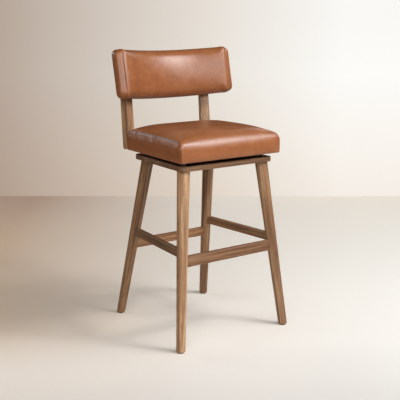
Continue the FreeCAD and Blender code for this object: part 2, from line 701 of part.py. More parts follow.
def post_bar():
    """The right-hand post: it leans back from the seat, then follows the tilt of the pad's rear face."""
    bend = BACK_ROUND - BACK_HEIGHT / 2
    top = BACK_HEIGHT / 2 - POST_BELOW_TOP
    foot = Placement(Vector(POST_X, post_foot_y(POST_WIDTH_FOOT), SEAT_UNDER), Rotation(UP, -POST_ANGLE))
    small = 2 * POST_TOP_EASE
    lower, eased, end = [back_placement().multiply(post_frame(z)) for z in (bend, top - POST_TOP_EASE, top)]
    sections = [post_section(POST_WIDTH_FOOT, POST_DEPTH, foot),
                post_section(POST_WIDTH_TOP, POST_DEPTH, lower),
                post_section(POST_WIDTH_TOP, POST_DEPTH, eased),
                post_section(POST_WIDTH_TOP - small, POST_DEPTH - small, end)]
    return Part.makeLoft(sections, True, True)


def post_landing():
    """Wood between the post's turned front and the cushion's flat rear, where the post is bolted."""
    turn = math.radians(POST_ANGLE)
    half = POST_WIDTH_FOOT / 2 - POST_CORNER
    inner = POST_X - half * math.cos(turn)
    outer = POST_X + half * math.cos(turn)
    front = SEAT_REAR + SOFT_CLEAR
    middle = post_foot_y(POST_WIDTH_FOOT)
    corners = [(inner, front), (outer, front), (outer, middle), (inner, middle)]
    points = [Vector(x, y, SEAT_UNDER) for x, y in corners]
    height = RAIL_TOP + LANDING_ABOVE_RAIL - SEAT_UNDER
    return prism(Part.makePolygon(points + points[:1]), height)


def foot_corner_cutter():
    """Takes the lower rear edge off a post as a round that meets both faces at a slight crease."""
    long = 3 * POST_WIDTH_FOOT
    side = 2 * POST_FOOT_ROUND
    block = Part.makeBox(long, side, side, Vector(-long / 2, 0, -side))
    rod = cylinder(POST_FOOT_ROUND + POST_FOOT_CREASE, long, Vector(-long / 2, 0, 0), Vector(1, 0, 0))
    cutter = block.cut(rod)
    middle = Vector(POST_X, post_foot_y(POST_WIDTH_FOOT), SEAT_UNDER)
    turn = Rotation(UP, -POST_ANGLE)
    behind = turn.multVec(Vector(0, POST_DEPTH / 2 - POST_FOOT_ROUND, POST_FOOT_ROUND))
    cutter.Placement = Placement(middle + behind, turn)
    return cutter


def back_post():
    """The right-hand post with its landing, bolt holes and counterbores."""
    shape = post_bar().fuse(post_landing()).removeSplitter().cut(foot_corner_cutter())
    cuts = []
    washer_y = SEAT_REAR + SOFT_CLEAR + POST_BOLT_GRIP
    for z in post_bolt_heights():
        inside, washer = Vector(POST_X, RAIL_REAR, z), Vector(POST_X, washer_y, z)
        cuts.append(cylinder(POST_BOLT_RADIUS + GLUE_CLEAR, 2 * PAST, inside, Vector(0, 1, 0)))
        cuts.append(cylinder(POST_COUNTERBORE_RADIUS, PAST, washer, Vector(0, 1, 0)))
    behind_pad = on_back_bolts(BACK_BOLT_RADIUS + GLUE_CLEAR, 0.0, BACK_THICK + POST_DEPTH)
    behind_pad += on_back_bolts(BACK_COUNTERBORE_RADIUS, BACK_BOLT_GRIP, PAST)
    return cut_all(shape, cuts + [placed_back(rod) for rod in behind_pad])


def post_bolts():
    washer_y = SEAT_REAR + SOFT_CLEAR + POST_BOLT_GRIP
    bolts = []
    for z in post_bolt_heights():
        tip = Vector(POST_X, RAIL_REAR - INSERT_LENGTH, z)
        seat = Vector(POST_X, washer_y + WASHER_THICK, z)
        shank = cylinder(POST_BOLT_RADIUS, seat.y - tip.y, tip, Vector(0, 1, 0))
        head = cylinder(POST_BOLT_HEAD_RADIUS, POST_BOLT_HEAD_HEIGHT, seat, Vector(0, 1, 0))
        bolts += both_sides(shank.fuse(head).removeSplitter())
    return group(bolts)


def post_washers():
    washer_y = SEAT_REAR + SOFT_CLEAR + POST_BOLT_GRIP
    washers = []
    for z in post_bolt_heights():
        foot = Vector(POST_X, washer_y, z)
        washers += both_sides(tube(POST_WASHER_RADIUS, POST_BOLT_RADIUS + GLUE_CLEAR, WASHER_THICK, foot,
                                   Vector(0, 1, 0)))
    return group(washers)


def post_inserts():
    """Threaded sleeves in the rail for the post bolts."""
    inserts = []
    for z in post_bolt_heights():
        foot = Vector(POST_X, RAIL_REAR - INSERT_LENGTH, z)
        inserts += both_sides(tube(INSERT_RADIUS, POST_BOLT_RADIUS + GLUE_CLEAR, INSERT_LENGTH, foot,
                                   Vector(0, 1, 0)))
    return group(inserts)


# ---------------------------------------------------------------- the stool
def all_parts():
    front_leg = leg("front")
    rear_leg = leg("rear")
    side_stretcher = stretcher("side")
    post = back_post()
    return {
        "base_board": base_board(),
        "leg_front_right": front_leg,
        "leg_front_left": mirrored(front_leg),
        "leg_rear_right": rear_leg,
        "leg_rear_left": mirrored(rear_leg),
        "footrest_stretcher": stretcher("front"),
        "rear_stretcher": stretcher("rear"),
        "side_stretcher_right": side_stretcher,
        "side_stretcher_left": mirrored(side_stretcher),
        "leg_hanger_bolts": at_each_leg(hanger_bolt),
        "leg_washers": at_each_leg(hanger_washer),
        "leg_nuts": at_each_leg(hanger_nut),
        "foot_glides": at_each_leg(foot_glide),
        "glide_nails": at_each_leg(glide_nail),
        "swivel_lower_plate": swivel_plate(False),
        "swivel_lower_screws": plate_screws(False),
        "swivel_rivet": centre_rivet(),
        "swivel_ball_cage": ball_cage(),
        "swivel_balls": swivel_balls(),
        "swivel_upper_plate": swivel_plate(True),
        "swivel_upper_screws": plate_screws(True),
        "seat_board": seat_board(),
        "seat_rear_rail": seat_rail(),
        "seat_foam": seat_foam(),
        "seat_cover": seat_cover(),
        "seat_dust_cover": seat_dust_cover(),
        "seat_cover_staples": cover_staples(),
        "back_post_right": post,
        "back_post_left": mirrored(post),
        "post_bolts": post_bolts(),
        "post_washers": post_washers(),
        "post_inserts": post_inserts(),
        "back_panel": back_panel(),
        "back_foam_front": back_foam_front(),
        "back_foam_rear": back_foam_rear(),
        "back_cover": back_cover(),
        "back_bolts": back_bolts(),
        "back_tee_nuts": back_tee_nuts(),
    }


def main():
    os.makedirs("parts", exist_ok=True)
    for name, shape in all_parts().items():
        shape.translate(Vector(0, SWIVEL_Y, 0))
        shape.exportStep("parts/" + name + ".step")


main()
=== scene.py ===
import bmesh
import bpy
import json
import math
from mathutils import Matrix, Vector, noise
from mathutils.kdtree import KDTree


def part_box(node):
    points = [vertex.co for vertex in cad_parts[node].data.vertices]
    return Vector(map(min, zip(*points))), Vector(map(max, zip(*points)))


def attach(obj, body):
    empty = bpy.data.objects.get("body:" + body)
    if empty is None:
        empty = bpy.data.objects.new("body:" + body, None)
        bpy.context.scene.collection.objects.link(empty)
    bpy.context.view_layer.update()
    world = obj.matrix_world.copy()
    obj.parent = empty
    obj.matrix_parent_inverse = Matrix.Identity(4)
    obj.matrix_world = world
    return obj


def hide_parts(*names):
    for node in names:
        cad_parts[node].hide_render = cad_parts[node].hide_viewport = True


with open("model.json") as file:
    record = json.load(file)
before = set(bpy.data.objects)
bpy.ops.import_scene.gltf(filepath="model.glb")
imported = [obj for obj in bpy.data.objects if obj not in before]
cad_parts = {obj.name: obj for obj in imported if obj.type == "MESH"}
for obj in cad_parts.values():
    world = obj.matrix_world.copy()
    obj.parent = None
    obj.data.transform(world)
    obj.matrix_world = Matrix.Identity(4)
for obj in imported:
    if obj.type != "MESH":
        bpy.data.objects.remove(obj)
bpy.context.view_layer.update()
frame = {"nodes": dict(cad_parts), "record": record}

# Upholstered bar stool with a turning seat. Metres, +Z up, the front faces -Y.

# ---- places taken from the frame
SWIVEL = Vector(frame["record"]["behaviour"]["joints"][0]["pos_m"])
SEAT_LOW, SEAT_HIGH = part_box("seat_cover")
FLOOR_Z = 0.0
MM = 0.001

# ---- seat cushion
SEAT_HALF_FRONT = SEAT_HIGH.x + 4 * MM
SEAT_HALF_REAR = SEAT_HALF_FRONT - 19 * MM
SEAT_FRONT_Y = SEAT_LOW.y
SEAT_REAR_Y = SEAT_HIGH.y
SEAT_MID_Y = (SEAT_FRONT_Y + SEAT_REAR_Y) / 2
SEAT_HALF_DEPTH = (SEAT_REAR_Y - SEAT_FRONT_Y) / 2
COVER_THICK = 1.3 * MM
COVER_LIP = 28 * MM          # turned under the cushion all round
LIP_STEP = 9 * MM            # one row of faces of that lip

# ---- back pad, in its own axes: x right, y back, z up, from the middle of its front face
BACK_RADIUS = 444 * MM
BACK_HALF_WIDTH = 247 * MM
BACK_HALF_ANGLE = math.asin(BACK_HALF_WIDTH / BACK_RADIUS)
BACK_THICK = 63 * MM
BACK_HEIGHT = 188.6 * MM
BACK_TILT = math.radians(12)
BACK_FRONT = 214 * MM
BACK_MID_Z = SEAT_LOW.z + 290.3 * MM


# ---------------------------------------------------------------- small helpers
def mesh_object(name, verts, faces, smooth=True):
    """A new object made of points and the faces between them."""
    mesh = bpy.data.meshes.new(name)
    mesh.from_pydata([tuple(v) for v in verts], [], faces)
    mesh.update()
    if smooth:
        mesh.shade_smooth()
    obj = bpy.data.objects.new(name, mesh)
    bpy.context.scene.collection.objects.link(obj)
    return obj


def apply_modifiers(obj):
    """Bake what the modifiers of an object make into its own mesh."""
    graph = bpy.context.evaluated_depsgraph_get()
    mesh = bpy.data.meshes.new_from_object(obj.evaluated_get(graph), depsgraph=graph)
    obj.modifiers.clear()
    old = obj.data
    obj.data = mesh
    bpy.data.meshes.remove(old)
    return obj


def smoothstep(low, high, value):
    """From 0 at low to 1 at high, with soft ends."""
    share = min(max((value - low) / (high - low), 0.0), 1.0)
    return share * share * (3 - 2 * share)


# ---------------------------------------------------------------- node helpers
def add(tree, kind, inputs=None, **settings):
    """A shader node with its inputs set to numbers or linked to sockets."""
    made = tree.nodes.new("ShaderNode" + kind)
    for key, value in settings.items():
        setattr(made, key, value)
    for key, value in (inputs or {}).items():
        if isinstance(value, bpy.types.NodeSocket):
            tree.links.new(value, made.inputs[key])
        else:
            made.inputs[key].default_value = value
    return made


def maths(tree, operation, first, second):
    """One operation on two values, each a number or a socket."""
    return add(tree, "Math", {0: first, 1: second}, operation=operation).outputs[0]


def ramp(tree, factor, stops):
    """A colour ramp; each stop is a place and either a colour or a grey level."""
    made = add(tree, "ValToRGB", {"Fac": factor})
    points = made.color_ramp.elements
    while len(points) < len(stops):
        points.new(0.5)
    for point, (place, color) in zip(points, stops):
        point.position = place
        point.color = (*color, 1.0) if isinstance(color, tuple) else (color, color, color, 1.0)
    return made.outputs["Color"]


def mix_color(tree, factor, first, second, blend="MIX"):
    """Two colours mixed by a factor; each of the three is a number, a colour or a socket."""
    made = add(tree, "Mix", data_type="RGBA", blend_type=blend)
    for socket, value in ((made.inputs[0], factor), (made.inputs[6], first), (made.inputs[7], second)):
        if isinstance(value, bpy.types.NodeSocket):
            tree.links.new(value, socket)
        else:
            socket.default_value = (*value, 1.0) if isinstance(value, tuple) else value
    return made.outputs[2]


def new_material(name):
    """A material with its node tree and its surface shader."""
    material = bpy.data.materials.new(name)
    material.use_nodes = True
    tree = material.node_tree
    return material, tree, tree.nodes["Principled BSDF"]


def noise_at(tree, coords, scale, detail=3.0, rough=0.5, distortion=0.0):
    """A cloudy pattern from 0 to 1; scale is its waves per unit of the coordinates."""
    inputs = {"Vector": coords, "Scale": scale, "Detail": detail, "Roughness": rough}
    inputs["Distortion"] = distortion
    return add(tree, "TexNoise", inputs).outputs["Fac"]


def weighted(tree, *parts):
    """The sum of some patterns; each part is a pattern and its share."""
    total = None
    for pattern, share in parts:
        scaled = maths(tree, "MULTIPLY", pattern, share)
        total = scaled if total is None else maths(tree, "ADD", total, scaled)
    return total


WEAK_NOISE, STRONG_NOISE = 0.3, 0.7


def uneven_gloss(tree, shader, pattern, low, high):
    """Let the roughness follow a noise pattern: low where the noise is weak, high where it is strong."""
    rough = add(tree, "MapRange", {"Value": pattern, "From Min": WEAK_NOISE, "From Max": STRONG_NOISE,
                                   "To Min": low, "To Max": high}).outputs["Result"]
    tree.links.new(rough, shader.inputs["Roughness"])


def bump(tree, height, distance, strength=1.0, normal=None):
    """A surface relief, distance metres high, on top of an earlier one if there is one."""
    inputs = {"Height": height, "Distance": distance, "Strength": strength}
    if normal is not None:
        inputs["Normal"] = normal
    return add(tree, "Bump", inputs).outputs["Normal"]


# ---------------------------------------------------------------- materials
# Noise patterns are given as waves per metre, detail, roughness and distortion.
LEATHER_CLOUDS = (19.0, 6.0, 0.62, 0.5)
LEATHER_SPOTS = (85.0, 4.0, 0.6)
LEATHER_CLOUDS_SHARE = 0.62
LEATHER_SPOTS_SHARE = 0.38
LEATHER_TONES = [(0.33, (0.287, 0.092, 0.032)), (0.50, (0.358, 0.123, 0.043)), (0.67, (0.421, 0.157, 0.061))]
# painted shade in the seams' grooves: its colour, and how much of it darkens the leather
LEATHER_SEAM_SHADE = (0.10, 0.034, 0.014)
LEATHER_SEAM_SHADE_SHARE = 0.65
LEATHER_GAP = (0.12, 0.040, 0.015)       # between the pebbles of the grain
LEATHER_GAP_SHARE = 0.16
LEATHER_PEBBLES = 620.0                  # per metre
LEATHER_PEBBLE_EDGE = 0.28               # how far the gap between pebbles reaches into them
LEATHER_PORES = (1900.0, 2.0)
LEATHER_WAVES = (34.0, 3.0)
LEATHER_WAVES_HIGH = 0.6 * MM
LEATHER_GRAIN_HIGH = 0.12 * MM
LEATHER_GLOSS = (0.28, 0.37)
LEATHER_SPECULAR = 0.58


def leather_material():
    """Satin aniline leather: cloudy cognac brown, fine pebbled grain, and painted shade in its seams."""
    material, tree, shader = new_material("cognac_leather")
    coords = add(tree, "TexCoord").outputs["Object"]
    clouds = noise_at(tree, coords, *LEATHER_CLOUDS)
    spots = noise_at(tree, coords, *LEATHER_SPOTS)
    tone = weighted(tree, (clouds, LEATHER_CLOUDS_SHARE), (spots, LEATHER_SPOTS_SHARE))
    color = ramp(tree, tone, LEATHER_TONES)
    # painted shade: the leather is darker along the seams' grooves, where shade falls
    painted_seam_shade = add(tree, "Attribute", attribute_name="painted_seam_shade").outputs["Fac"]
    color = mix_color(tree, maths(tree, "MULTIPLY", painted_seam_shade, LEATHER_SEAM_SHADE_SHARE), color, LEATHER_SEAM_SHADE)
    cells = add(tree, "TexVoronoi", {"Vector": coords, "Scale": LEATHER_PEBBLES, "Randomness": 1.0},
                feature="DISTANCE_TO_EDGE").outputs["Distance"]
    pebbles = ramp(tree, cells, [(0.0, 0.0), (LEATHER_PEBBLE_EDGE, 1.0)])
    grain = weighted(tree, (pebbles, 0.7), (noise_at(tree, coords, *LEATHER_PORES), 0.5))
    gaps = maths(tree, "SUBTRACT", 1.0, pebbles)
    color = mix_color(tree, maths(tree, "MULTIPLY", gaps, LEATHER_GAP_SHARE), color, LEATHER_GAP)
    normal = bump(tree, noise_at(tree, coords, *LEATHER_WAVES), LEATHER_WAVES_HIGH, 0.5)
    normal = bump(tree, grain, LEATHER_GRAIN_HIGH, 0.55, normal)
    uneven_gloss(tree, shader, spots, *LEATHER_GLOSS)
    tree.links.new(color, shader.inputs["Base Color"])
    tree.links.new(normal, shader.inputs["Normal"])
    shader.inputs["Specular IOR Level"].default_value = LEATHER_SPECULAR
    return material


def thread_material():
    """Twisted sewing thread, a little darker than the leather."""
    material, tree, shader = new_material("seam_thread")
    coords = add(tree, "TexCoord").outputs["Object"]
    twist = add(tree, "TexWave", {"Vector": coords, "Scale": 900.0, "Distortion": 2.0},
                bands_direction="DIAGONAL").outputs["Fac"]
    color = ramp(tree, twist, [(0.0, (0.16, 0.060, 0.028)), (1.0, (0.34, 0.150, 0.075))])
    tree.links.new(color, shader.inputs["Base Color"])
    tree.links.new(bump(tree, twist, 0.08 * MM), shader.inputs["Normal"])
    shader.inputs["Roughness"].default_value = 0.55
    return material


def grain_coords(tree, centre, along):
    """Texture coordinates whose z runs along a piece of wood and whose origin is at its middle."""
    turn = Vector(along).to_track_quat("Z", "Y").to_euler()
    return add(tree, "Mapping", {"Vector": add(tree, "TexCoord").outputs["Object"], "Location": centre,
                                 "Rotation": turn}, vector_type="TEXTURE").outputs["Vector"]


def stretched(tree, coords, across, along):
    """Coordinates for a pattern with so many waves per metre across the grain and along it."""
    return add(tree, "Mapping", {"Vector": coords, "Scale": (across, across, along)},
               vector_type="POINT").outputs["Vector"]


# Wood patterns are given as waves per metre across the grain and along it.
WOOD_STREAKS = (75.0, 2.6)
WOOD_BANDS = (190.0, 4.5)
WOOD_BROAD = (22.0, 3.2)
WOOD_PORES = (950.0, 26.0)
WOOD_SHARES = (0.50, 0.28, 0.22)         # of streaks, bands and broad patches in the tone
WOOD_TONES = [(0.36, (0.112, 0.045, 0.018)), (0.47, (0.278, 0.129, 0.054)), (0.56, (0.425, 0.224, 0.104)),
              (0.68, (0.600, 0.395, 0.235))]
WOOD_PORE = (0.050, 0.030, 0.018)
WOOD_PORE_SHARE = 0.55
WOOD_GLOSS = (0.48, 0.38)
WOOD_SPECULAR = 0.75
WOOD_RELIEF = 0.16 * MM


def wood_material(name, centre, along, tint_with_painted_light):
    """Weathered oak: long streaks, annual bands and open dark pores; the red, green and blue are scaled per
    piece, for the piece's own tone and for painted highlight and shade.
    """
    material, tree, shader = new_material(name)
    coords = grain_coords(tree, centre, along)
    streaks = noise_at(tree, stretched(tree, coords, *WOOD_STREAKS), 1.0, 4.0, 0.6, 0.9)
    bands = noise_at(tree, stretched(tree, coords, *WOOD_BANDS), 1.0, 3.0, 0.55, 0.6)
    broad = noise_at(tree, stretched(tree, coords, *WOOD_BROAD), 1.0, 3.0, 0.5)
    tone = weighted(tree, *zip((streaks, bands, broad), WOOD_SHARES))
    # painted highlight and shade: each piece's colours are scaled per piece
    stops = [(place, tuple(c * t for c, t in zip(color, tint_with_painted_light))) for place, color in WOOD_TONES]
    color = ramp(tree, tone, stops)
    pores = noise_at(tree, stretched(tree, coords, *WOOD_PORES), 1.0, 2.0, 0.5)
    pits = ramp(tree, pores, [(0.56, 0.0), (0.68, 1.0)])
    color = mix_color(tree, maths(tree, "MULTIPLY", pits, WOOD_PORE_SHARE), color, WOOD_PORE)
    height = maths(tree, "SUBTRACT", maths(tree, "MULTIPLY", bands, 0.6), pits)
    uneven_gloss(tree, shader, streaks, *WOOD_GLOSS)
    tree.links.new(color, shader.inputs["Base Color"])
    tree.links.new(bump(tree, height, WOOD_RELIEF, 0.6), shader.inputs["Normal"])
    shader.inputs["Specular IOR Level"].default_value = WOOD_SPECULAR
    return material


def plain_wood_material():
    """Raw plywood and rail wood, hidden inside the upholstery."""
    material, tree, shader = new_material("raw_wood")
    coords = add(tree, "TexCoord").outputs["Object"]
    lines = noise_at(tree, stretched(tree, coords, 160.0, 160.0), 0.35, 4.0, 0.6)
    color = ramp(tree, lines, [(0.3, (0.42, 0.28, 0.15)), (0.7, (0.62, 0.46, 0.28))])
    tree.links.new(color, shader.inputs["Base Color"])
    shader.inputs["Roughness"].default_value = 0.7
    return material


def metal_material(name, color, rough, metallic):
    """Bare or black-coated steel with faint uneven gloss."""
    material, tree, shader = new_material(name)
    coords = add(tree, "TexCoord").outputs["Object"]
    patches = noise_at(tree, coords, 120.0, 4.0, 0.6)
    low = tuple(c * 0.75 for c in color)
    tree.links.new(ramp(tree, patches, [(0.3, low), (0.7, color)]), shader.inputs["Base Color"])
    uneven_gloss(tree, shader, patches, rough - 0.08, rough + 0.08)
    tree.links.new(bump(tree, noise_at(tree, coords, 1500.0, 2.0), 0.04 * MM, 0.5), shader.inputs["Normal"])
    shader.inputs["Metallic"].default_value = metallic
    return material


def plastic_material(name, color, rough):
    """Moulded plastic with a fine eggshell surface."""
    material, tree, shader = new_material(name)
    coords = add(tree, "TexCoord").outputs["Object"]
    dust = noise_at(tree, coords, 300.0, 3.0)
    low = tuple(c * 0.8 for c in color)
    tree.links.new(ramp(tree, dust, [(0.35, low), (0.65, color)]), shader.inputs["Base Color"])
    tree.links.new(bump(tree, noise_at(tree, coords, 2500.0, 2.0), 0.03 * MM, 0.6), shader.inputs["Normal"])
    shader.inputs["Roughness"].default_value = rough
    return material


def lining_material():
    """Black non-woven dust cloth."""
    material, tree, shader = new_material("dust_cloth")
    coords = add(tree, "TexCoord").outputs["Object"]
    fibres = noise_at(tree, coords, 1400.0, 4.0, 0.7, 1.5)
    tree.links.new(ramp(tree, fibres, [(0.3, (0.010, 0.010, 0.011)), (0.7, (0.045, 0.044, 0.046))]),
                   shader.inputs["Base Color"])
    tree.links.new(bump(tree, fibres, 0.2 * MM), shader.inputs["Normal"])
    shader.inputs["Roughness"].default_value = 0.9
    return material


def foam_material():
    """Cut open-cell foam."""
    material, tree, shader = new_material("open_foam")
    coords = add(tree, "TexCoord").outputs["Object"]
    cells = add(tree, "TexVoronoi", {"Vector": coords, "Scale": 900.0}).outputs["Distance"]
    tree.links.new(ramp(tree, cells, [(0.1, (0.80, 0.72, 0.50)), (0.6, (0.60, 0.52, 0.33))]),
                   shader.inputs["Base Color"])
    tree.links.new(bump(tree, cells, 0.4 * MM), shader.inputs["Normal"])
    shader.inputs["Roughness"].default_value = 0.95
    return material


def dress(node, material):
    """Give a CAD node one material."""
    for slot in frame["nodes"][node].material_slots:
        slot.material = material


def node_centre(node):
    """The middle of a CAD node's box."""
    low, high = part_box(node)
    return (low + high) / 2


# ---------------------------------------------------------------- sewn forms
def round_over(depth, radius):
    """How far a quarter-round edge falls back at a distance from its flank."""
    share = min(max(1 - depth / radius, 0.0), 1.0)
    return radius * (1 - math.sqrt(1 - share * share))


def mix(first, second, share):
    """From first at share 0 to second at share 1."""
    return first + (second - first) * share


def patch(rear, top, front, bottom):
    """A grid of plane points inside four edges that follow each other round; rear runs upwards."""
    across, up = len(top) - 1, len(rear) - 1
    grid = []
    for i in range(across + 1):
        u = i / across
        column = []
        for j in range(up + 1):
            v = j / up
            point = rear[j] * (1 - u) + front[up - j] * u + bottom[across - i] * (1 - v) + top[i] * v
            point -= rear[0] * ((1 - u) * (1 - v)) + rear[-1] * ((1 - u) * v)
            point -= front[0] * (u * v) + front[-1] * (u * (1 - v))
            column.append(point)
        grid.append(column)
    return grid


def sewn_mesh(name, wrap, sides, closed):
    """One mesh of a wrap grid and two side grids; the edges where they meet are marked as seams."""
    work = bmesh.new()

    def add_grid(grid, panel, close):
        points = [[work.verts.new(p) for p in column] for column in grid]
        rows = len(points[0])
        for i in range(len(points) - 1):
            for j in range(rows if close else rows - 1):
                k = (j + 1) % rows
                face = work.faces.new((points[i][j], points[i][k], points[i + 1][k], points[i + 1][j]))
                face.material_index = panel

    add_grid(wrap, 0, closed)
    for grid in sides:
        add_grid(grid, 1, False)
    bmesh.ops.remove_doubles(work, verts=work.verts, dist=0.01 * MM)
    bmesh.ops.recalc_face_normals(work, faces=work.faces)
    layer = work.verts.layers.float.new("side")
    for vert in work.verts:
        vert[layer] = sum(face.material_index for face in vert.link_faces) / len(vert.link_faces)
    for edge in work.edges:
        edge.seam = len({face.material_index for face in edge.link_faces}) == 2
    for face in work.faces:
        face.material_index = 0
    mesh = bpy.data.meshes.new(name)
    work.to_mesh(mesh)
    work.free()
    mesh.shade_smooth()
    obj = bpy.data.objects.new(name, mesh)
    bpy.context.scene.collection.objects.link(obj)
    return obj


def seam_points(obj):
    """The indices of the points that lie on a marked seam."""
    return {index for edge in obj.data.edges if edge.use_seam for index in edge.vertices}


CUSHION_PRESSURE = 4.0
CLOTH_FRAMES = 20


def blow_up(obj, held, cap):
    """Cloth under pressure; held gives how firmly each point stays, and cap how far it may go."""
    start = [v.co.copy() for v in obj.data.vertices]
    pins = obj.vertex_groups.new(name="held")
    for index, weight in enumerate(held):
        pins.add([index], weight, "REPLACE")
    modifier = obj.modifiers.new("cloth", "CLOTH")
    settings = modifier.settings
    settings.quality = 6
    settings.mass = 0.3
    settings.tension_stiffness = 20
    settings.compression_stiffness = 20
    settings.shear_stiffness = 8
    settings.bending_stiffness = 0.8
    settings.use_pressure = True
    settings.uniform_pressure_force = CUSHION_PRESSURE
    settings.vertex_group_mass = "held"
    settings.effector_weights.gravity = 0.0
    modifier.collision_settings.use_collision = False
    modifier.point_cache.frame_start = 1
    modifier.point_cache.frame_end = CLOTH_FRAMES
    scene = bpy.context.scene
    for step in range(1, CLOTH_FRAMES + 1):
        scene.frame_set(step)
    apply_modifiers(obj)
    scene.frame_set(1)
    for vertex, co in zip(obj.data.vertices, start):
        moved = vertex.co - co
        if moved.length > cap:
            vertex.co = co + moved * (cap / moved.length)
    obj.vertex_groups.clear()


def relax(obj, rounds):
    """Even out the mesh without moving what lies on a seam."""
    seam = seam_points(obj)
    free = obj.vertex_groups.new(name="free")
    free.add([i for i in range(len(obj.data.vertices)) if i not in seam], 1.0, "REPLACE")
    modifier = obj.modifiers.new("smooth", "SMOOTH")
    modifier.iterations = rounds
    modifier.factor = 0.5
    modifier.vertex_group = "free"
    apply_modifiers(obj)
    obj.vertex_groups.clear()


def subdivide(obj):
    """Halve every face, with rounder forms."""
    modifier = obj.modifiers.new("finer", "SUBSURF")
    modifier.levels = 1
    modifier.render_levels = 1
    apply_modifiers(obj)


SEAM_DEPTH = 1.4 * MM
SEAM_HALF_WIDTH = 2.1 * MM
SWELL_RISE = 0.3 * MM        # the leather stands up a little beside a seam
SWELL_PLACE = 4.5 * MM
SWELL_HALF_WIDTH = 0.6 * SWELL_PLACE
LAP_PLACE = 11.5 * MM
LAP_HALF_WIDTH = 2.4 * MM
LAP_DEPTH = 1.1 * MM
# how dark the painted shade in a lap's groove is, and how wide the painted shade along a seam is
LAP_SHADE = 0.7
SHADE_HALF_WIDTH = 1.4 * SEAM_HALF_WIDTH
COARSE_GATHERS = 26.0        # waves per metre
FINE_GATHERS = 60.0
GATHER_PLACE = 0.3           # where the gathers are highest, as a share of their reach
GATHER_WIDTH = 0.55
WRAP_GATHERS = 0.2           # of the wrap panel, against those of the side panel


def seam_profile(distance):
    """Height of the cover beside a seam: a narrow groove between two low swellings."""
    groove = -SEAM_DEPTH * math.exp(-(distance / SEAM_HALF_WIDTH) ** 2)
    swell = SWELL_RISE * math.exp(-((distance - SWELL_PLACE) / SWELL_HALF_WIDTH) ** 2)
    return groove + swell


def gathers(place, seed):
    """Uneven waves of gathered leather, from about -0.7 to 1."""
    coarse = abs(noise.noise(place * COARSE_GATHERS + Vector((seed, 0, 0))))
    return coarse + 0.5 * noise.noise(place * FINE_GATHERS) - 0.25


def work_seams(obj, pucker, lap, reach, seed, shade):
    """Press the seams in and let the leather gather beside them, as far as reach. Pucker and lap give how
    much at a point of the seam, and shade how dark the painted shade in the seam's groove gets. A lapped seam
    has a second groove on its side, with painted shade in it too."""
    mesh = obj.data
    seam = [mesh.vertices[i].co.copy() for i in sorted(seam_points(obj))]
    tree = KDTree(len(seam))
    for index, co in enumerate(seam):
        tree.insert(co, index)
    tree.balance()
    normals = [v.normal.copy() for v in mesh.vertices]
    side = mesh.attributes["side"].data
    painted_seam_shade = mesh.attributes.new("painted_seam_shade", "FLOAT", "POINT")
    moves = []
    for vertex, normal in zip(mesh.vertices, normals):
        near, _, distance = tree.find(vertex.co)
        lift = seam_profile(distance)
        sideness = side[vertex.index].value
        fade = math.exp(-((distance - GATHER_PLACE * reach) / (GATHER_WIDTH * reach)) ** 2)
        lift += pucker(near) * fade * gathers(near, seed) * mix(WRAP_GATHERS, 1.0, sideness)
        second = lap(near) * sideness * math.exp(-((distance - LAP_PLACE) / LAP_HALF_WIDTH) ** 2)
        moves.append(normal * (lift - LAP_DEPTH * second))
        # painted shade in the seam's groove and in a lap's second groove, kept as a point attribute that
        # darkens the leather
        first = shade * math.exp(-(distance / SHADE_HALF_WIDTH) ** 2)
        painted_seam_shade.data[vertex.index].value = max(first, LAP_SHADE * second)
    for vertex, move in zip(mesh.vertices, moves):
        vertex.co += move
    mesh.attributes.remove(mesh.attributes["side"])
    mesh.update()


def seam_paths(obj):
    """The seams as runs of (place, normal), each from one end to the other or once round."""
    mesh = obj.data
    beside = {}
    for edge in mesh.edges:
        if edge.use_seam:
            first, second = edge.vertices
            beside.setdefault(first, []).append(second)
            beside.setdefault(second, []).append(first)
    ends = [index for index in sorted(beside) if len(beside[index]) == 1]
    unused = set(beside)
    paths = []
    for start in ends + sorted(beside):
        if start not in unused:
            continue
        path = [start]
        unused.discard(start)
        while True:
            onward = [index for index in beside[path[-1]] if index in unused]
            if not onward:
                break
            path.append(min(onward))
            unused.discard(path[-1])
        if path[0] in beside[path[-1]] and len(path) > 2:
            path.append(path[0])
        paths.append([(mesh.vertices[i].co.copy(), mesh.vertices[i].normal.copy()) for i in path])
    return paths


STITCH_PITCH = 4.6 * MM
STITCH_LENGTH = 3.4 * MM
STITCH_RADIUS = 0.42 * MM
STITCH_LIFT = 0.15 * MM
STITCH_SIDES = 6
STITCH_RINGS = ((-0.5, 0.25), (-0.3, 1.0), (0.3, 1.0), (0.5, 0.25))      # place along it, girth


def add_stitch(verts, faces, centre, along, normal):
    """One stitch: a thread that dips into the leather at both ends."""
    across = along.cross(normal).normalized()
    first = len(verts)
    for place, girth in STITCH_RINGS:
        for k in range(STITCH_SIDES):
            turn = math.radians(360 / STITCH_SIDES * k)
            out = across * math.cos(turn) + normal * math.sin(turn)
            verts.append(centre + along * (place * STITCH_LENGTH) + out * (girth * STITCH_RADIUS))
    for ring in range(len(STITCH_RINGS) - 1):
        start = first + STITCH_SIDES * ring
        for k in range(STITCH_SIDES):
            a, b = start + k, start + (k + 1) % STITCH_SIDES
            faces.append((a, b, b + STITCH_SIDES, a + STITCH_SIDES))
    last = first + STITCH_SIDES * (len(STITCH_RINGS) - 1)
    faces.append(tuple(first + k for k in reversed(range(STITCH_SIDES))))
    faces.append(tuple(last + k for k in range(STITCH_SIDES)))


def make_thread(paths, material):
    """Short stitches of thread in the bottom of each seam, one mesh for all of them."""
    verts, faces = [], []
    for path in paths:
        travelled, due = 0.0, STITCH_PITCH
        for (start, normal), (end, _) in zip(path, path[1:]):
            step = (end - start).length
            while step > 0 and due <= travelled + step:
                centre = start.lerp(end, (due - travelled) / step) + normal * STITCH_LIFT
                add_stitch(verts, faces, centre, (end - start).normalized(), normal)
                due += STITCH_PITCH
            travelled += step
    obj = mesh_object("seam_thread", verts, faces)
    obj.data.materials.append(material)
    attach(obj, "seat")
    return obj


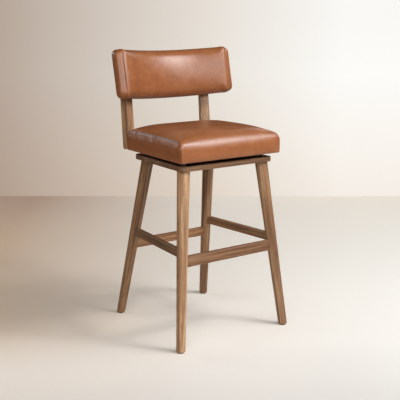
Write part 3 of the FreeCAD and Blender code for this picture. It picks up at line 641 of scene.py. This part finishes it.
# ---------------------------------------------------------------- seat cushion
SEAT_EDGE_Z = SEAT_LOW.z + 81.2 * MM
SEAT_CROWN = 22.0 * MM
SEAT_CROWN_ACROSS = 5.6
SEAT_CROWN_ALONG = 4.2
SEAT_SIDE_ROUND = 22.5 * MM
SEAT_FRONT_ROUND = 30 * MM
SEAT_REAR_ROUND = 28 * MM
SEAT_UPRIGHT_ROUND = 12 * MM
SEAM_ROUND_FRONT = 28 * MM
SEAM_ROUND_REAR = 23 * MM
SEAT_CORNER_DIP = 0.5 * MM
SEAT_DIP_REACH = 110 * MM
SEAM_IN_TOP = 8 * MM
SEAM_IN_UPRIGHT = 5.5 * MM
SIDE_LEAN_TOP = 28 * MM
SIDE_LEAN_UPRIGHT = 13 * MM
SEAT_CORNER_REACH = 60 * MM      # from the seam to where the front and rear rounding is the middle's
SEAT_FOLD = [(6 * MM, 0.0), (1.8 * MM, 1.8 * MM), (0.0, 6 * MM)]     # bottom edge: inwards, upwards
SEAT_PUFF = 2.5 * MM
SEAT_GATHER_Z = SEAT_LOW.z + 55 * MM     # the seam is lapped below this and gathered above it
SEAT_GATHER = 3.6 * MM
SEAT_GATHER_REACH = 30 * MM
SEAT_HELD = 4 * MM               # the bottom edge doesn't puff up this far
SEAT_FREE = 9 * MM
FOLD_ROWS = len(SEAT_FOLD)
UPRIGHT_ROWS = 10
ROUND_ROWS = 8
TOP_ROWS = 66
# columns of both cushions' grids, in mm from the seam: narrow beside it, wider towards the middle
OFFSETS = [0, 1.4, 3.2, 5.4, 8, 11.2, 15, 19.5, 24.5, 30, 36, 42, 48.5, 55, 62, 69, 76, 83, 90, 97, 104,
           111, 118, 125, 132, 139, 146, 153, 160, 167, 174, 181, 188, 195, 202, 209, 216]


def seat_half(y):
    """Half the cushion's width; it narrows towards the rear."""
    return mix(SEAT_HALF_FRONT, SEAT_HALF_REAR, (y - SEAT_FRONT_Y) / (SEAT_REAR_Y - SEAT_FRONT_Y))


def seat_rows():
    """What each row round the wrap is: its part, and its place along that part from 0 to 1.
    In a fold the place counts the points of SEAT_FOLD instead."""
    rows = [("rear_fold", k) for k in range(FOLD_ROWS)]
    rows += [("rear", k / UPRIGHT_ROWS) for k in range(1, UPRIGHT_ROWS + 1)]
    rows += [("rear_round", k / ROUND_ROWS) for k in range(1, ROUND_ROWS + 1)]
    rows += [("top", k / TOP_ROWS) for k in range(1, TOP_ROWS)]
    rows += [("front_round", 1 - k / ROUND_ROWS) for k in range(ROUND_ROWS + 1)]
    rows += [("front", 1 - k / UPRIGHT_ROWS) for k in range(1, UPRIGHT_ROWS + 1)]
    rows += [("front_fold", FOLD_ROWS - 1 - k) for k in range(1, FOLD_ROWS)]
    return rows


SEAT_ROWS = seat_rows()
SEAT_SPLIT_REAR = SEAT_ROWS.index(("rear_round", 0.5))
SEAT_SPLIT_FRONT = SEAT_ROWS.index(("front_round", 0.5))


def seat_wrap_point(side, share, row):
    """A point of the wrap panel: share is 0 at the side's seam and 1 in the middle."""
    part, place = row
    on_top = {"rear_round": place, "front_round": place, "top": 1.0}.get(part, 0.0)
    seam_in = mix(SEAM_IN_UPRIGHT, SEAM_IN_TOP, smoothstep(0.15, 1.0, on_top))
    if part == "top":
        half = seat_half(mix(SEAT_REAR_Y, SEAT_FRONT_Y, place))
    else:
        half = seat_half(SEAT_REAR_Y if part.startswith("rear") else SEAT_FRONT_Y)
    inset = mix(seam_in, half, share)
    back = round_over(inset, SEAT_UPRIGHT_ROUND)
    front_y, rear_y = SEAT_FRONT_Y + back, SEAT_REAR_Y - back
    spread = smoothstep(0, SEAT_CORNER_REACH, inset - seam_in)
    front_round = mix(SEAM_ROUND_FRONT, SEAT_FRONT_ROUND, spread)
    rear_round = mix(SEAM_ROUND_REAR, SEAT_REAR_ROUND, spread)
    edge_z = SEAT_EDGE_Z - round_over(max(inset, SEAM_IN_TOP), SEAT_SIDE_ROUND)
    across = 1 - max(1 - inset / half, 0) ** SEAT_CROWN_ACROSS
    corner = 1 - smoothstep(0, SEAT_DIP_REACH, inset - seam_in)

    def top_z(y):
        along = min(abs(2 * (y - SEAT_MID_Y) / (rear_y - front_y)), 1.0)
        dip = SEAT_CORNER_DIP * corner * smoothstep(0, SEAT_HALF_DEPTH, SEAT_MID_Y - y)
        return edge_z - dip + SEAT_CROWN * across * (1 - along ** SEAT_CROWN_ALONG)

    turn = math.radians(90) * place if isinstance(place, float) else 0.0
    if part in ("rear_fold", "front_fold"):
        fold_in, fold_up = SEAT_FOLD[place]
        y = rear_y - fold_in if part == "rear_fold" else front_y + fold_in
        z = SEAT_LOW.z + fold_up
    elif part in ("rear", "front"):
        y = rear_y if part == "rear" else front_y
        reach = rear_round if part == "rear" else front_round
        z = mix(SEAT_LOW.z + SEAT_FOLD[-1][1], top_z(y) - reach, place)
    elif part == "rear_round":
        y = rear_y - rear_round * (1 - math.cos(turn))
        z = top_z(y) - rear_round * (1 - math.sin(turn))
    elif part == "front_round":
        y = front_y + front_round * (1 - math.cos(turn))
        z = top_z(y) - front_round * (1 - math.sin(turn))
    else:
        y = mix(rear_y - rear_round, front_y + front_round, place)
        z = top_z(y)
    return Vector((side * (seat_half(y) - inset * seat_half(y) / half), y, z))


def seat_mesh():
    """The cushion's cover: a wrap that runs from the rear over the top to the front, and two side panels."""
    shares = [min(o * MM / (SEAT_HALF_FRONT - SEAM_IN_UPRIGHT), 1.0) for o in OFFSETS] + [1.0]
    left = [[seat_wrap_point(-1, s, row) for row in SEAT_ROWS] for s in shares]
    right = [[seat_wrap_point(1, s, row) for row in SEAT_ROWS] for s in reversed(shares[:-1])]
    wrap = left + right
    sides = []
    for side, edge in ((-1, wrap[0]), (1, wrap[-1])):
        flat = [Vector((p.y, p.z)) for p in edge]
        insets = [seat_half(p.y) - abs(p.x) for p in edge]
        rear = flat[:SEAT_SPLIT_REAR + 1]
        top = flat[SEAT_SPLIT_REAR:SEAT_SPLIT_FRONT + 1]
        front = flat[SEAT_SPLIT_FRONT:]
        count = len(top) - 1
        bottom = [front[-1].lerp(rear[0], k / count) for k in range(count + 1)]
        grid = patch(rear, top, front, bottom)
        grid = [[seat_side_point(side, p, flat, insets) for p in column] for column in grid]
        sides.append(grid)
    return sewn_mesh("seat_cushion", wrap, sides, closed=False)


def seat_side_point(side, point, edge, insets):
    """A point of a side panel: it leans in towards the seam along its top, and turns under at the bottom."""
    distance, inset = min(((point - e).length, i) for e, i in zip(edge, insets))
    reach = mix(SIDE_LEAN_UPRIGHT, SIDE_LEAN_TOP, smoothstep(SEAM_IN_UPRIGHT, SEAM_IN_TOP, inset))
    lean = inset * max(1 - distance / reach, 0.0) ** 2
    share = min(max((point.y - SEAT_LOW.z) / SEAT_FOLD[-1][1], 0.0), 1.0)
    fold = SEAT_FOLD[0][0] * (1 - math.sqrt(1 - (1 - share) ** 2))
    return Vector((side * (seat_half(point.x) - max(lean, fold)), point.x, point.y))


def turn_under(obj):
    """Turn the cushion's open bottom edge under as a flat lip."""
    work = bmesh.new()
    work.from_mesh(obj.data)
    rim = [edge for edge in work.edges if edge.is_boundary]
    for step in (LIP_STEP, LIP_STEP, COVER_LIP - 2 * LIP_STEP):
        grown = bmesh.ops.extrude_edge_only(work, edges=rim)["geom"]
        moved = [g for g in grown if isinstance(g, bmesh.types.BMVert)]
        rim = [g for g in grown if isinstance(g, bmesh.types.BMEdge)]
        for vert in moved:
            vert.co.x *= 1 - step / seat_half(vert.co.y)
            vert.co.y = SEAT_MID_Y + (vert.co.y - SEAT_MID_Y) * (1 - step / SEAT_HALF_DEPTH)
            vert.co.z = SEAT_LOW.z
    bmesh.ops.recalc_face_normals(work, faces=work.faces)
    work.to_mesh(obj.data)
    work.free()
    obj.data.shade_smooth()


def thicken(obj):
    """Give the cover its thickness, inwards."""
    modifier = obj.modifiers.new("thickness", "SOLIDIFY")
    modifier.thickness = COVER_THICK
    modifier.offset = -1
    apply_modifiers(obj)


def seat_gather(near):
    """How high the leather gathers beside a point of the seam: only round the top."""
    return SEAT_GATHER * smoothstep(SEAT_GATHER_Z, SEAT_GATHER_Z + 15 * MM, near.z)


def seat_lap(near):
    """How much of the second groove there is beside a point of the seam: only on its upright runs."""
    return 1 - smoothstep(SEAT_GATHER_Z - 12 * MM, SEAT_GATHER_Z + 6 * MM, near.z)


def make_seat_cushion(leather):
    """The cushion, held along its seams and its bottom edge while it is blown up."""
    obj = seat_mesh()
    seam = seam_points(obj)
    held = []
    for vertex in obj.data.vertices:
        firm = 1.0 if vertex.index in seam else 0.0
        held.append(max(firm, 1 - smoothstep(SEAT_HELD, SEAT_FREE, vertex.co.z - SEAT_LOW.z)))
    blow_up(obj, held, SEAT_PUFF)
    relax(obj, 12)
    turn_under(obj)
    subdivide(obj)
    work_seams(obj, seat_gather, seat_lap, reach=SEAT_GATHER_REACH, seed=3.7, shade=1.0)
    paths = seam_paths(obj)
    thicken(obj)
    leather_piece(obj, leather, "seat", ["seat_cover", "seat_foam"])
    return paths


# ---------------------------------------------------------------- back pad
PAD_HALF_HEIGHT = BACK_HEIGHT / 2
PAD_EDGE_ROUND = 36 * MM
PAD_EDGE_ROUND_REAR = 36 * MM
PAD_TOP_ROUND = 30 * MM
PAD_END_SHAPE = 1.8
PAD_SEAM_IN = 12.5 * MM
PAD_SEAM_IN_REAR = 12 * MM
PAD_RISE = 3.0 * MM          # the middle stands this much higher than the ends
PAD_RISE_SHAPE = 4
PAD_CROWN = 14.0 * MM
PAD_CROWN_SHAPE = 3.2
PAD_EDGE_BACK = 4 * MM
PAD_CORNER_END = 17 * MM
PAD_FRONT_ROUND = 30 * MM
PAD_REAR_ROUND = 24 * MM
PAD_CORNER_REACH = 45 * MM
PAD_PUFF = 2.5 * MM
PAD_GATHER = 0.8 * MM
PAD_GATHER_REACH = 26 * MM
PAD_SEAM_SHADE = 0.36
PAD_BEND = 8                 # faces round each of the four bends of the cross-section
PAD_RUNS = [24, 6, 24, 6]    # faces along the rear, the top, the front and the bottom
PAD_COLUMN = 0.027           # width of the grid's middle columns, as a share of half the pad
PAD_LAST_COLUMN = 0.05
PAD_ARC = BACK_HALF_ANGLE * BACK_RADIUS + 2.5 * MM
PAD_TURN = Matrix.Rotation(-BACK_TILT, 3, "X")
PAD_MIDDLE = Vector((0, SWIVEL.y + BACK_FRONT, BACK_MID_Z))


def pad_place(arc, depth, height):
    """From the pad's own measures to the row frame: arc runs along the curved front face."""
    angle = arc / BACK_RADIUS
    reach = BACK_RADIUS + depth
    local = Vector((reach * math.sin(angle), reach * math.cos(angle) - BACK_RADIUS, height))
    return PAD_MIDDLE + PAD_TURN @ local


def pad_loop(share):
    """The pad's cross-section as (inset, depth, height), from its end seam at share 0 to its middle at 1.
    It starts below the rear face and runs up the rear, over the top and down the front."""
    inset_front = mix(PAD_SEAM_IN, PAD_ARC, share)
    inset_rear = mix(PAD_SEAM_IN_REAR, PAD_ARC, share)
    spread = smoothstep(0, PAD_CORNER_REACH, inset_front - PAD_SEAM_IN)
    front_round = mix(PAD_CORNER_END, PAD_FRONT_ROUND, spread)
    rear_round = mix(PAD_CORNER_END, PAD_REAR_ROUND, spread)
    rise = PAD_RISE * (1 - (1 - share) ** PAD_RISE_SHAPE) - round_over(inset_front, PAD_TOP_ROUND)
    near = round_over(inset_front, PAD_EDGE_ROUND)
    far = BACK_THICK - round_over(inset_rear, PAD_EDGE_ROUND_REAR)
    low, high = -PAD_HALF_HEIGHT - rise, PAD_HALF_HEIGHT + rise
    bends = [(0, far - rear_round, low + rear_round, rear_round),
             (90, far - rear_round, high - rear_round, rear_round),
             (180, near + front_round, high - front_round, front_round),
             (270, near + front_round, low + front_round, front_round)]
    points = []
    for index, (start, d, h, radius) in enumerate(bends):
        _, next_d, next_h, next_radius = bends[(index + 1) % 4]
        for k in range(PAD_BEND + 1):
            turn = math.radians(start - 90 + 90 * k / PAD_BEND)
            points.append(Vector((d + radius * math.cos(turn), h + radius * math.sin(turn))))
        turn = math.radians(start)
        leave = points[-1]
        arrive = Vector((next_d + next_radius * math.cos(turn), next_h + next_radius * math.sin(turn)))
        points += [leave.lerp(arrive, k / PAD_RUNS[index]) for k in range(1, PAD_RUNS[index])]
    loop = []
    for depth, height in points:
        rearness = smoothstep(0.3 * BACK_THICK, 0.9 * BACK_THICK, depth)
        loop.append((mix(inset_front, inset_rear, rearness), depth, height))
    return loop


def pad_wrap_column(side, share):
    """The cross-section in its place, with the front face's crown."""
    across = 1 - max(1 - share, 0.0) ** PAD_CROWN_SHAPE
    column = []
    for inset, depth, height in pad_loop(share):
        frontness = 1 - smoothstep(0, 0.6 * BACK_THICK, depth)
        up = min(abs(height) / PAD_HALF_HEIGHT, 1.0)
        depth -= (PAD_CROWN * (1 - up ** 2) - PAD_EDGE_BACK) * across * frontness
        column.append(pad_place(side * (PAD_ARC - inset), depth, height))
    return column


def pad_end(side):
    """A grid over one end of the pad: a panel that bulges out between its seams."""
    loop = pad_loop(0)
    edge = [Vector((depth, height)) for _, depth, height in loop]
    insets = [inset for inset, _, _ in loop]
    marks = [PAD_BEND // 2]
    for run in PAD_RUNS[:3]:
        marks.append(marks[-1] + PAD_BEND + run)
    looped = edge + edge[:marks[0] + 1]
    ends = marks[1:] + [len(edge) + marks[0]]
    rear, top, front, bottom = (looped[a:b + 1] for a, b in zip(marks, ends))
    grid = []
    for column in patch(rear, top, front, bottom):
        line = []
        for p in column:
            distance, inset = min((math.hypot(p.x - e.x, PAD_END_SHAPE * (p.y - e.y)), i)
                                  for e, i in zip(edge, insets))
            frontness = (inset - PAD_SEAM_IN_REAR) / (PAD_SEAM_IN - PAD_SEAM_IN_REAR)
            radius = mix(PAD_EDGE_ROUND_REAR, PAD_EDGE_ROUND, frontness)
            left = max(math.sqrt(inset * (2 * radius - inset)) - distance, 0.0)
            lean = radius - math.sqrt(radius * radius - left * left)
            line.append(pad_place(side * (PAD_ARC - lean), p.x, p.y))
        grid.append(line)
    return grid


def make_back_pad(leather):
    """The curved pad: a wrap round it, and a panel over each end."""
    length = PAD_ARC - PAD_SEAM_IN
    shares = [o * MM / length for o in OFFSETS if o * MM < length - 5 * MM]
    while 1 - shares[-1] > PAD_LAST_COLUMN:
        shares.append(shares[-1] + PAD_COLUMN)
    shares.append(1.0)
    left = [pad_wrap_column(-1, s) for s in shares]
    right = [pad_wrap_column(1, s) for s in reversed(shares[:-1])]
    obj = sewn_mesh("back_pad", left + right, [pad_end(-1), pad_end(1)], closed=True)
    seam = seam_points(obj)
    blow_up(obj, [1.0 if v.index in seam else 0.0 for v in obj.data.vertices], PAD_PUFF)
    relax(obj, 8)
    subdivide(obj)
    work_seams(obj, lambda near: PAD_GATHER, lambda near: 0.0, reach=PAD_GATHER_REACH, seed=9.1,
               shade=PAD_SEAM_SHADE)
    leather_piece(obj, leather, "seat", ["back_cover", "back_foam_front", "back_foam_rear"])
    return seam_paths(obj)


# ---------------------------------------------------------------- camera, light, stage
VIEW_AZIMUTH = math.radians(-35.55)
VIEW_ELEVATION = math.radians(12.53)
VIEW_DISTANCE = 3.2135
VIEW_SIDE = -0.00356
VIEW_HEIGHT = 0.50128
VIEW_LENS = 73.87
SENSOR_WIDTH = 36
VIEW_RIGHT = Vector((math.cos(VIEW_AZIMUTH), math.sin(VIEW_AZIMUTH), 0))
VIEW_BACK = Vector((math.sin(VIEW_AZIMUTH) * math.cos(VIEW_ELEVATION),
                    -math.cos(VIEW_AZIMUTH) * math.cos(VIEW_ELEVATION), math.sin(VIEW_ELEVATION)))


def make_camera():
    """A camera in front of the stool, round towards -X and a little above it."""
    data = bpy.data.cameras.new("camera")
    data.lens = VIEW_LENS
    data.sensor_width = SENSOR_WIDTH
    camera = bpy.data.objects.new("camera", data)
    bpy.context.scene.collection.objects.link(camera)
    target = Vector((SWIVEL.x, SWIVEL.y, 0)) + VIEW_RIGHT * VIEW_SIDE + Vector((0, 0, VIEW_HEIGHT))
    camera.location = target + VIEW_BACK * VIEW_DISTANCE
    camera.rotation_mode = "QUATERNION"
    camera.rotation_quaternion = (-VIEW_BACK).to_track_quat("-Z", "Y")
    bpy.context.scene.camera = camera


LIGHT_AIM = Vector((0, 0, 0.7))
LIGHT_DISTANCE = 3.0
LIGHT_COLOR = (0.98, 1.0, 1.02)


def area_light(name, place, size, power):
    """A soft light that points at the stool; place is degrees round from the front and degrees up."""
    data = bpy.data.lights.new(name, "AREA")
    data.shape = "RECTANGLE"
    data.size, data.size_y = size
    data.energy = power
    data.color = LIGHT_COLOR
    lamp = bpy.data.objects.new(name, data)
    bpy.context.scene.collection.objects.link(lamp)
    around, up = (math.radians(angle) for angle in place)
    away = Vector((math.sin(around) * math.cos(up), -math.cos(around) * math.cos(up), math.sin(up)))
    lamp.location = LIGHT_AIM + away * LIGHT_DISTANCE
    lamp.rotation_mode = "QUATERNION"
    lamp.rotation_quaternion = (-away).to_track_quat("-Z", "Y")


# Colours from the left of the view to the right and up the wall, and strengths from near to far. The wall
# carries painted light and shade,
# # darker low on the left and paler to the right and upwards; the floor's colour carries painted shade, and
# its glow is painted light.
WALL_SPREAD = 0.24
WALL_COLOR_AND_PAINTED_LIGHT_ACROSS = [(0.0, (0.47, 0.380, 0.318)), (0.5, (0.80, 0.745, 0.675)), (0.85, (0.98, 0.97, 0.94))]
WALL_DROP = 0.22
WALL_PAINTED_SHADE_UPWARDS = [(0.0, (0.93, 0.87, 0.82)), (0.35, (0.97, 0.94, 0.91)), (0.7, (1.0, 1.0, 1.0)),
                (1.0, (0.975, 0.97, 0.97))]
ROOM_COLOR = (1.0, 0.965, 0.93, 1.0)
ROOM_STRENGTH = 0.02
FLOOR_REACH = 2.38           # from the stool to the foot of the wall
FLOOR_SIDE = 4.0             # to the left, to the right and towards the camera
FLOOR_SPREAD = 1.1
# the floor's colour with painted shade: darker and warmer to the left, and darker near the camera
FLOOR_COLOR_AND_PAINTED_SHADE_ACROSS = [(0.0, (0.85, 0.630, 0.435)), (0.5, (0.96, 0.88, 0.79)), (1.0, (0.93, 0.91, 0.855))]
FLOOR_PAINTED_SHADE_DEPTH = [(0.42, 1.0), (0.485, 0.73), (0.547, 0.92), (0.59, 1.0)]
GLOW_ACROSS = [(0.0, (0.078, 0.047, 0.046)), (0.5, (0.27, 0.24, 0.205)), (1.0, (0.33, 0.28, 0.225))]
GLOW_DEPTH = [(0.0, 2.3), (0.31, 1.6), (0.42, 0.6), (0.49, 0.0), (0.56, 0.02), (0.675, 0.32),
              (0.805, 0.62), (0.922, 1.0), (0.969, 1.2), (1.0, 1.45)]
LEFT_GLOW_ACROSS = [(0.0, (0.235, 0.278, 0.315)), (0.45, (0.06, 0.063, 0.068)), (0.7, (0.0, 0.0, 0.0))]
LEFT_GLOW_DEPTH = [(0.537, 1.0), (0.568, 0.7), (0.604, 0.0)]
REFLECTION_SHADE = 0.6       # how much darker the floor is in reflections
BLACK = (0.0, 0.0, 0.0)


def along_axis(tree, coords, direction, low, high):
    """How far a point lies along a direction: 0 at low and 1 at high."""
    reach = add(tree, "VectorMath", {0: coords, 1: tuple(direction)}, operation="DOT_PRODUCT")
    shares = {"Value": reach.outputs["Value"], "From Min": low, "From Max": high}
    return add(tree, "MapRange", shares).outputs["Result"]


def make_world():
    """A warm wall for the camera, with painted light and shade: paler to the right and upwards, darker low on
    the left; the lamps do the lighting.
    """
    world = bpy.data.worlds.new("studio")
    bpy.context.scene.world = world
    world.use_nodes = True
    tree = world.node_tree
    tree.nodes.clear()
    direction = add(tree, "TexCoord").outputs["Generated"]
    side = along_axis(tree, direction, VIEW_RIGHT, -WALL_SPREAD, WALL_SPREAD)
    height = along_axis(tree, direction, (0.0, 0.0, 1.0), -WALL_DROP, 0.0)
    # painted light and shade on the wall: paler to the right and upwards, darker low on the left
    wall = mix_color(tree, 1.0, ramp(tree, side, WALL_COLOR_AND_PAINTED_LIGHT_ACROSS), ramp(tree, height, WALL_PAINTED_SHADE_UPWARDS), "MULTIPLY")
    seen = add(tree, "Background", {"Color": wall, "Strength": 1.0}).outputs[0]
    light = add(tree, "Background", {"Color": ROOM_COLOR, "Strength": ROOM_STRENGTH}).outputs[0]
    path = add(tree, "LightPath")
    shown = maths(tree, "MAXIMUM", path.outputs["Is Camera Ray"], path.outputs["Is Transmission Ray"])
    both = add(tree, "MixShader", {0: shown, 1: light, 2: seen}).outputs[0]
    add(tree, "OutputWorld", {"Surface": both})


def make_floor():
    """A pale floor that meets the wall in a soft line; it takes shadows, its colour carries painted shade,
    darker and warmer to the left and darker near the camera, and it glows for the camera as painted light,
    far back and near the left.
    """
    ahead = Vector((-math.sin(VIEW_AZIMUTH), math.cos(VIEW_AZIMUTH), 0))
    centre = Vector((SWIVEL.x, SWIVEL.y, FLOOR_Z))
    outline = ((-FLOOR_SIDE, -FLOOR_SIDE), (FLOOR_SIDE, -FLOOR_SIDE),
               (FLOOR_SIDE, FLOOR_REACH), (-FLOOR_SIDE, FLOOR_REACH))
    corners = [centre + VIEW_RIGHT * x + ahead * y for x, y in outline]
    floor = mesh_object("floor", corners, [(0, 1, 2, 3)], smooth=False)
    material, tree, shader = new_material("studio_floor")
    coords = add(tree, "TexCoord").outputs["Object"]
    side = along_axis(tree, coords, VIEW_RIGHT, -FLOOR_SPREAD, FLOOR_SPREAD)
    depth = along_axis(tree, coords, ahead, -FLOOR_SIDE, FLOOR_REACH)
    path = add(tree, "LightPath")

    def crossed(across, away):
        return mix_color(tree, 1.0, ramp(tree, side, across), ramp(tree, depth, away), "MULTIPLY")

    # painted shade in the floor's colour: darker and warmer to the left and darker near the camera
    color = crossed(FLOOR_COLOR_AND_PAINTED_SHADE_ACROSS, FLOOR_PAINTED_SHADE_DEPTH)
    mirrored = maths(tree, "MULTIPLY", path.outputs["Is Glossy Ray"], REFLECTION_SHADE)
    tree.links.new(mix_color(tree, mirrored, color, BLACK), shader.inputs["Base Color"])
    glow = crossed(GLOW_ACROSS, GLOW_DEPTH)
    glow = mix_color(tree, 1.0, glow, crossed(LEFT_GLOW_ACROSS, LEFT_GLOW_DEPTH), "ADD")
    seen = path.outputs["Is Camera Ray"]
    tree.links.new(mix_color(tree, seen, BLACK, glow), shader.inputs["Emission Color"])
    shader.inputs["Emission Strength"].default_value = 1.0
    shader.inputs["Roughness"].default_value = 0.8
    shader.inputs["Specular IOR Level"].default_value = 0.1
    floor.data.materials.append(material)


def make_lights():
    """A wide soft band in front, a key light with a bright core to its right, and weak lights all round."""
    area_light("front_band", (-12, 28), (4.8, 0.9), 66.0)
    area_light("key", (40, 44), (1.8, 1.2), 40.0)
    area_light("key_core", (36, 42), (0.55, 0.55), 25.0)
    area_light("left_fill", (-56, 18), (1.2, 1.0), 7.0)
    area_light("rear_left", (-146, 22), (1.5, 0.8), 16.0)
    area_light("rear_right", (115, 26), (1.2, 0.9), 7.0)


# ---------------------------------------------------------------- putting it together
def leather_piece(obj, material, body, nodes):
    """Hand a finished cushion over in place of its CAD nodes."""
    obj.data.materials.clear()
    obj.data.materials.append(material)
    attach(obj, body)
    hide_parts(*nodes)


# How the red, green and blue of each oak piece differ from the plain wood: a little natural tone between
# pieces, but mostly painted light.
# # A painted highlight makes the front left leg and the posts lighter and greyer and the rear rail lighter;
# # painted shade makes the base board, the footrest and the side rails darker.
LEG_TINTS_WITH_PAINTED_LIGHT = {"leg_front_left": (1.52, 1.70, 1.92), "leg_front_right": (0.99, 1.0, 1.03),
             "leg_rear_left": (0.90, 0.92, 0.94), "leg_rear_right": (0.95, 0.95, 0.95)}
POST_TINTS_WITH_PAINTED_LIGHT = {"back_post_left": (1.18, 1.27, 1.41), "back_post_right": (1.50, 1.76, 2.12)}
CROSS_TINTS_WITH_PAINTED_LIGHT = {"footrest_stretcher": (0.74, 0.68, 0.64), "rear_stretcher": (1.10, 1.02, 0.94),
               "base_board": (0.63, 0.62, 0.63)}
SIDE_TINTS_WITH_PAINTED_LIGHT = {"side_stretcher_left": (0.64, 0.64, 0.67), "side_stretcher_right": (0.78, 0.78, 0.78)}
LEG_ACROSS = 40 * MM         # a leg's mean thickness: what its box is wider than its splay
POST_GRAIN = Vector((0, 0.16, 1))
CROSS_GRAIN = Vector((1, 0, 0))
SIDE_RAIL_TURN = 0.09        # how far the side rails run inwards per metre of depth


def leg_direction(node):
    """Along a splayed leg, from its box: its foot is the outer low corner."""
    low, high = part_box(node)
    side = -1 if "left" in node else 1
    end = -1 if "front" in node else 1
    width, depth = high.x - low.x, high.y - low.y
    inwards, back = width - LEG_ACROSS, depth - LEG_ACROSS
    return Vector((-side * inwards, -end * back, high.z - low.z)).normalized()


def dress_oak(node, along, tint_with_painted_light):
    """Give a piece of the frame its own oak, with the grain along it and its colour scaled for its tone and
    for its painted light and shade.
    """
    dress(node, wood_material("oak_" + node, node_centre(node), along, tint_with_painted_light))


def dress_frame():
    """Materials for every CAD node that is not replaced by a cushion."""
    for node, tint_with_painted_light in LEG_TINTS_WITH_PAINTED_LIGHT.items():
        dress_oak(node, leg_direction(node), tint_with_painted_light)
    for node, tint_with_painted_light in POST_TINTS_WITH_PAINTED_LIGHT.items():
        dress_oak(node, POST_GRAIN, tint_with_painted_light)
    for node, tint_with_painted_light in CROSS_TINTS_WITH_PAINTED_LIGHT.items():
        dress_oak(node, CROSS_GRAIN, tint_with_painted_light)
    for node, tint_with_painted_light in SIDE_TINTS_WITH_PAINTED_LIGHT.items():
        inwards = SIDE_RAIL_TURN if node.endswith("left") else -SIDE_RAIL_TURN
        dress_oak(node, Vector((inwards, 1, 0)), tint_with_painted_light)
    raw = plain_wood_material()
    for node in ("seat_board", "seat_rear_rail", "back_panel"):
        dress(node, raw)
    zinc = metal_material("zinc_steel", (0.52, 0.52, 0.50), 0.38, 1.0)
    black = metal_material("black_steel", (0.030, 0.030, 0.032), 0.42, 0.4)
    for node in ("leg_hanger_bolts", "leg_washers", "leg_nuts", "glide_nails", "swivel_lower_screws",
                 "swivel_upper_screws", "swivel_rivet", "swivel_balls", "seat_cover_staples", "post_inserts",
                 "back_tee_nuts"):
        dress(node, zinc)
    for node in ("swivel_lower_plate", "swivel_upper_plate", "post_bolts", "post_washers", "back_bolts"):
        dress(node, black)
    dress("foot_glides", plastic_material("dark_glide", (0.035, 0.030, 0.027), 0.6))
    dress("swivel_ball_cage", plastic_material("nylon_cage", (0.75, 0.74, 0.70), 0.5))
    dress("seat_dust_cover", lining_material())
    foam = foam_material()
    for node in ("seat_foam", "back_foam_front", "back_foam_rear"):
        dress(node, foam)


def main():
    """Camera, stage and lamps, then the frame's materials and the soft pieces."""
    make_camera()
    make_world()
    make_floor()
    make_lights()
    dress_frame()
    leather = leather_material()
    seams = make_seat_cushion(leather) + make_back_pad(leather)
    make_thread(seams, thread_material())


main()
bpy.context.scene.view_settings.view_transform = "Standard"
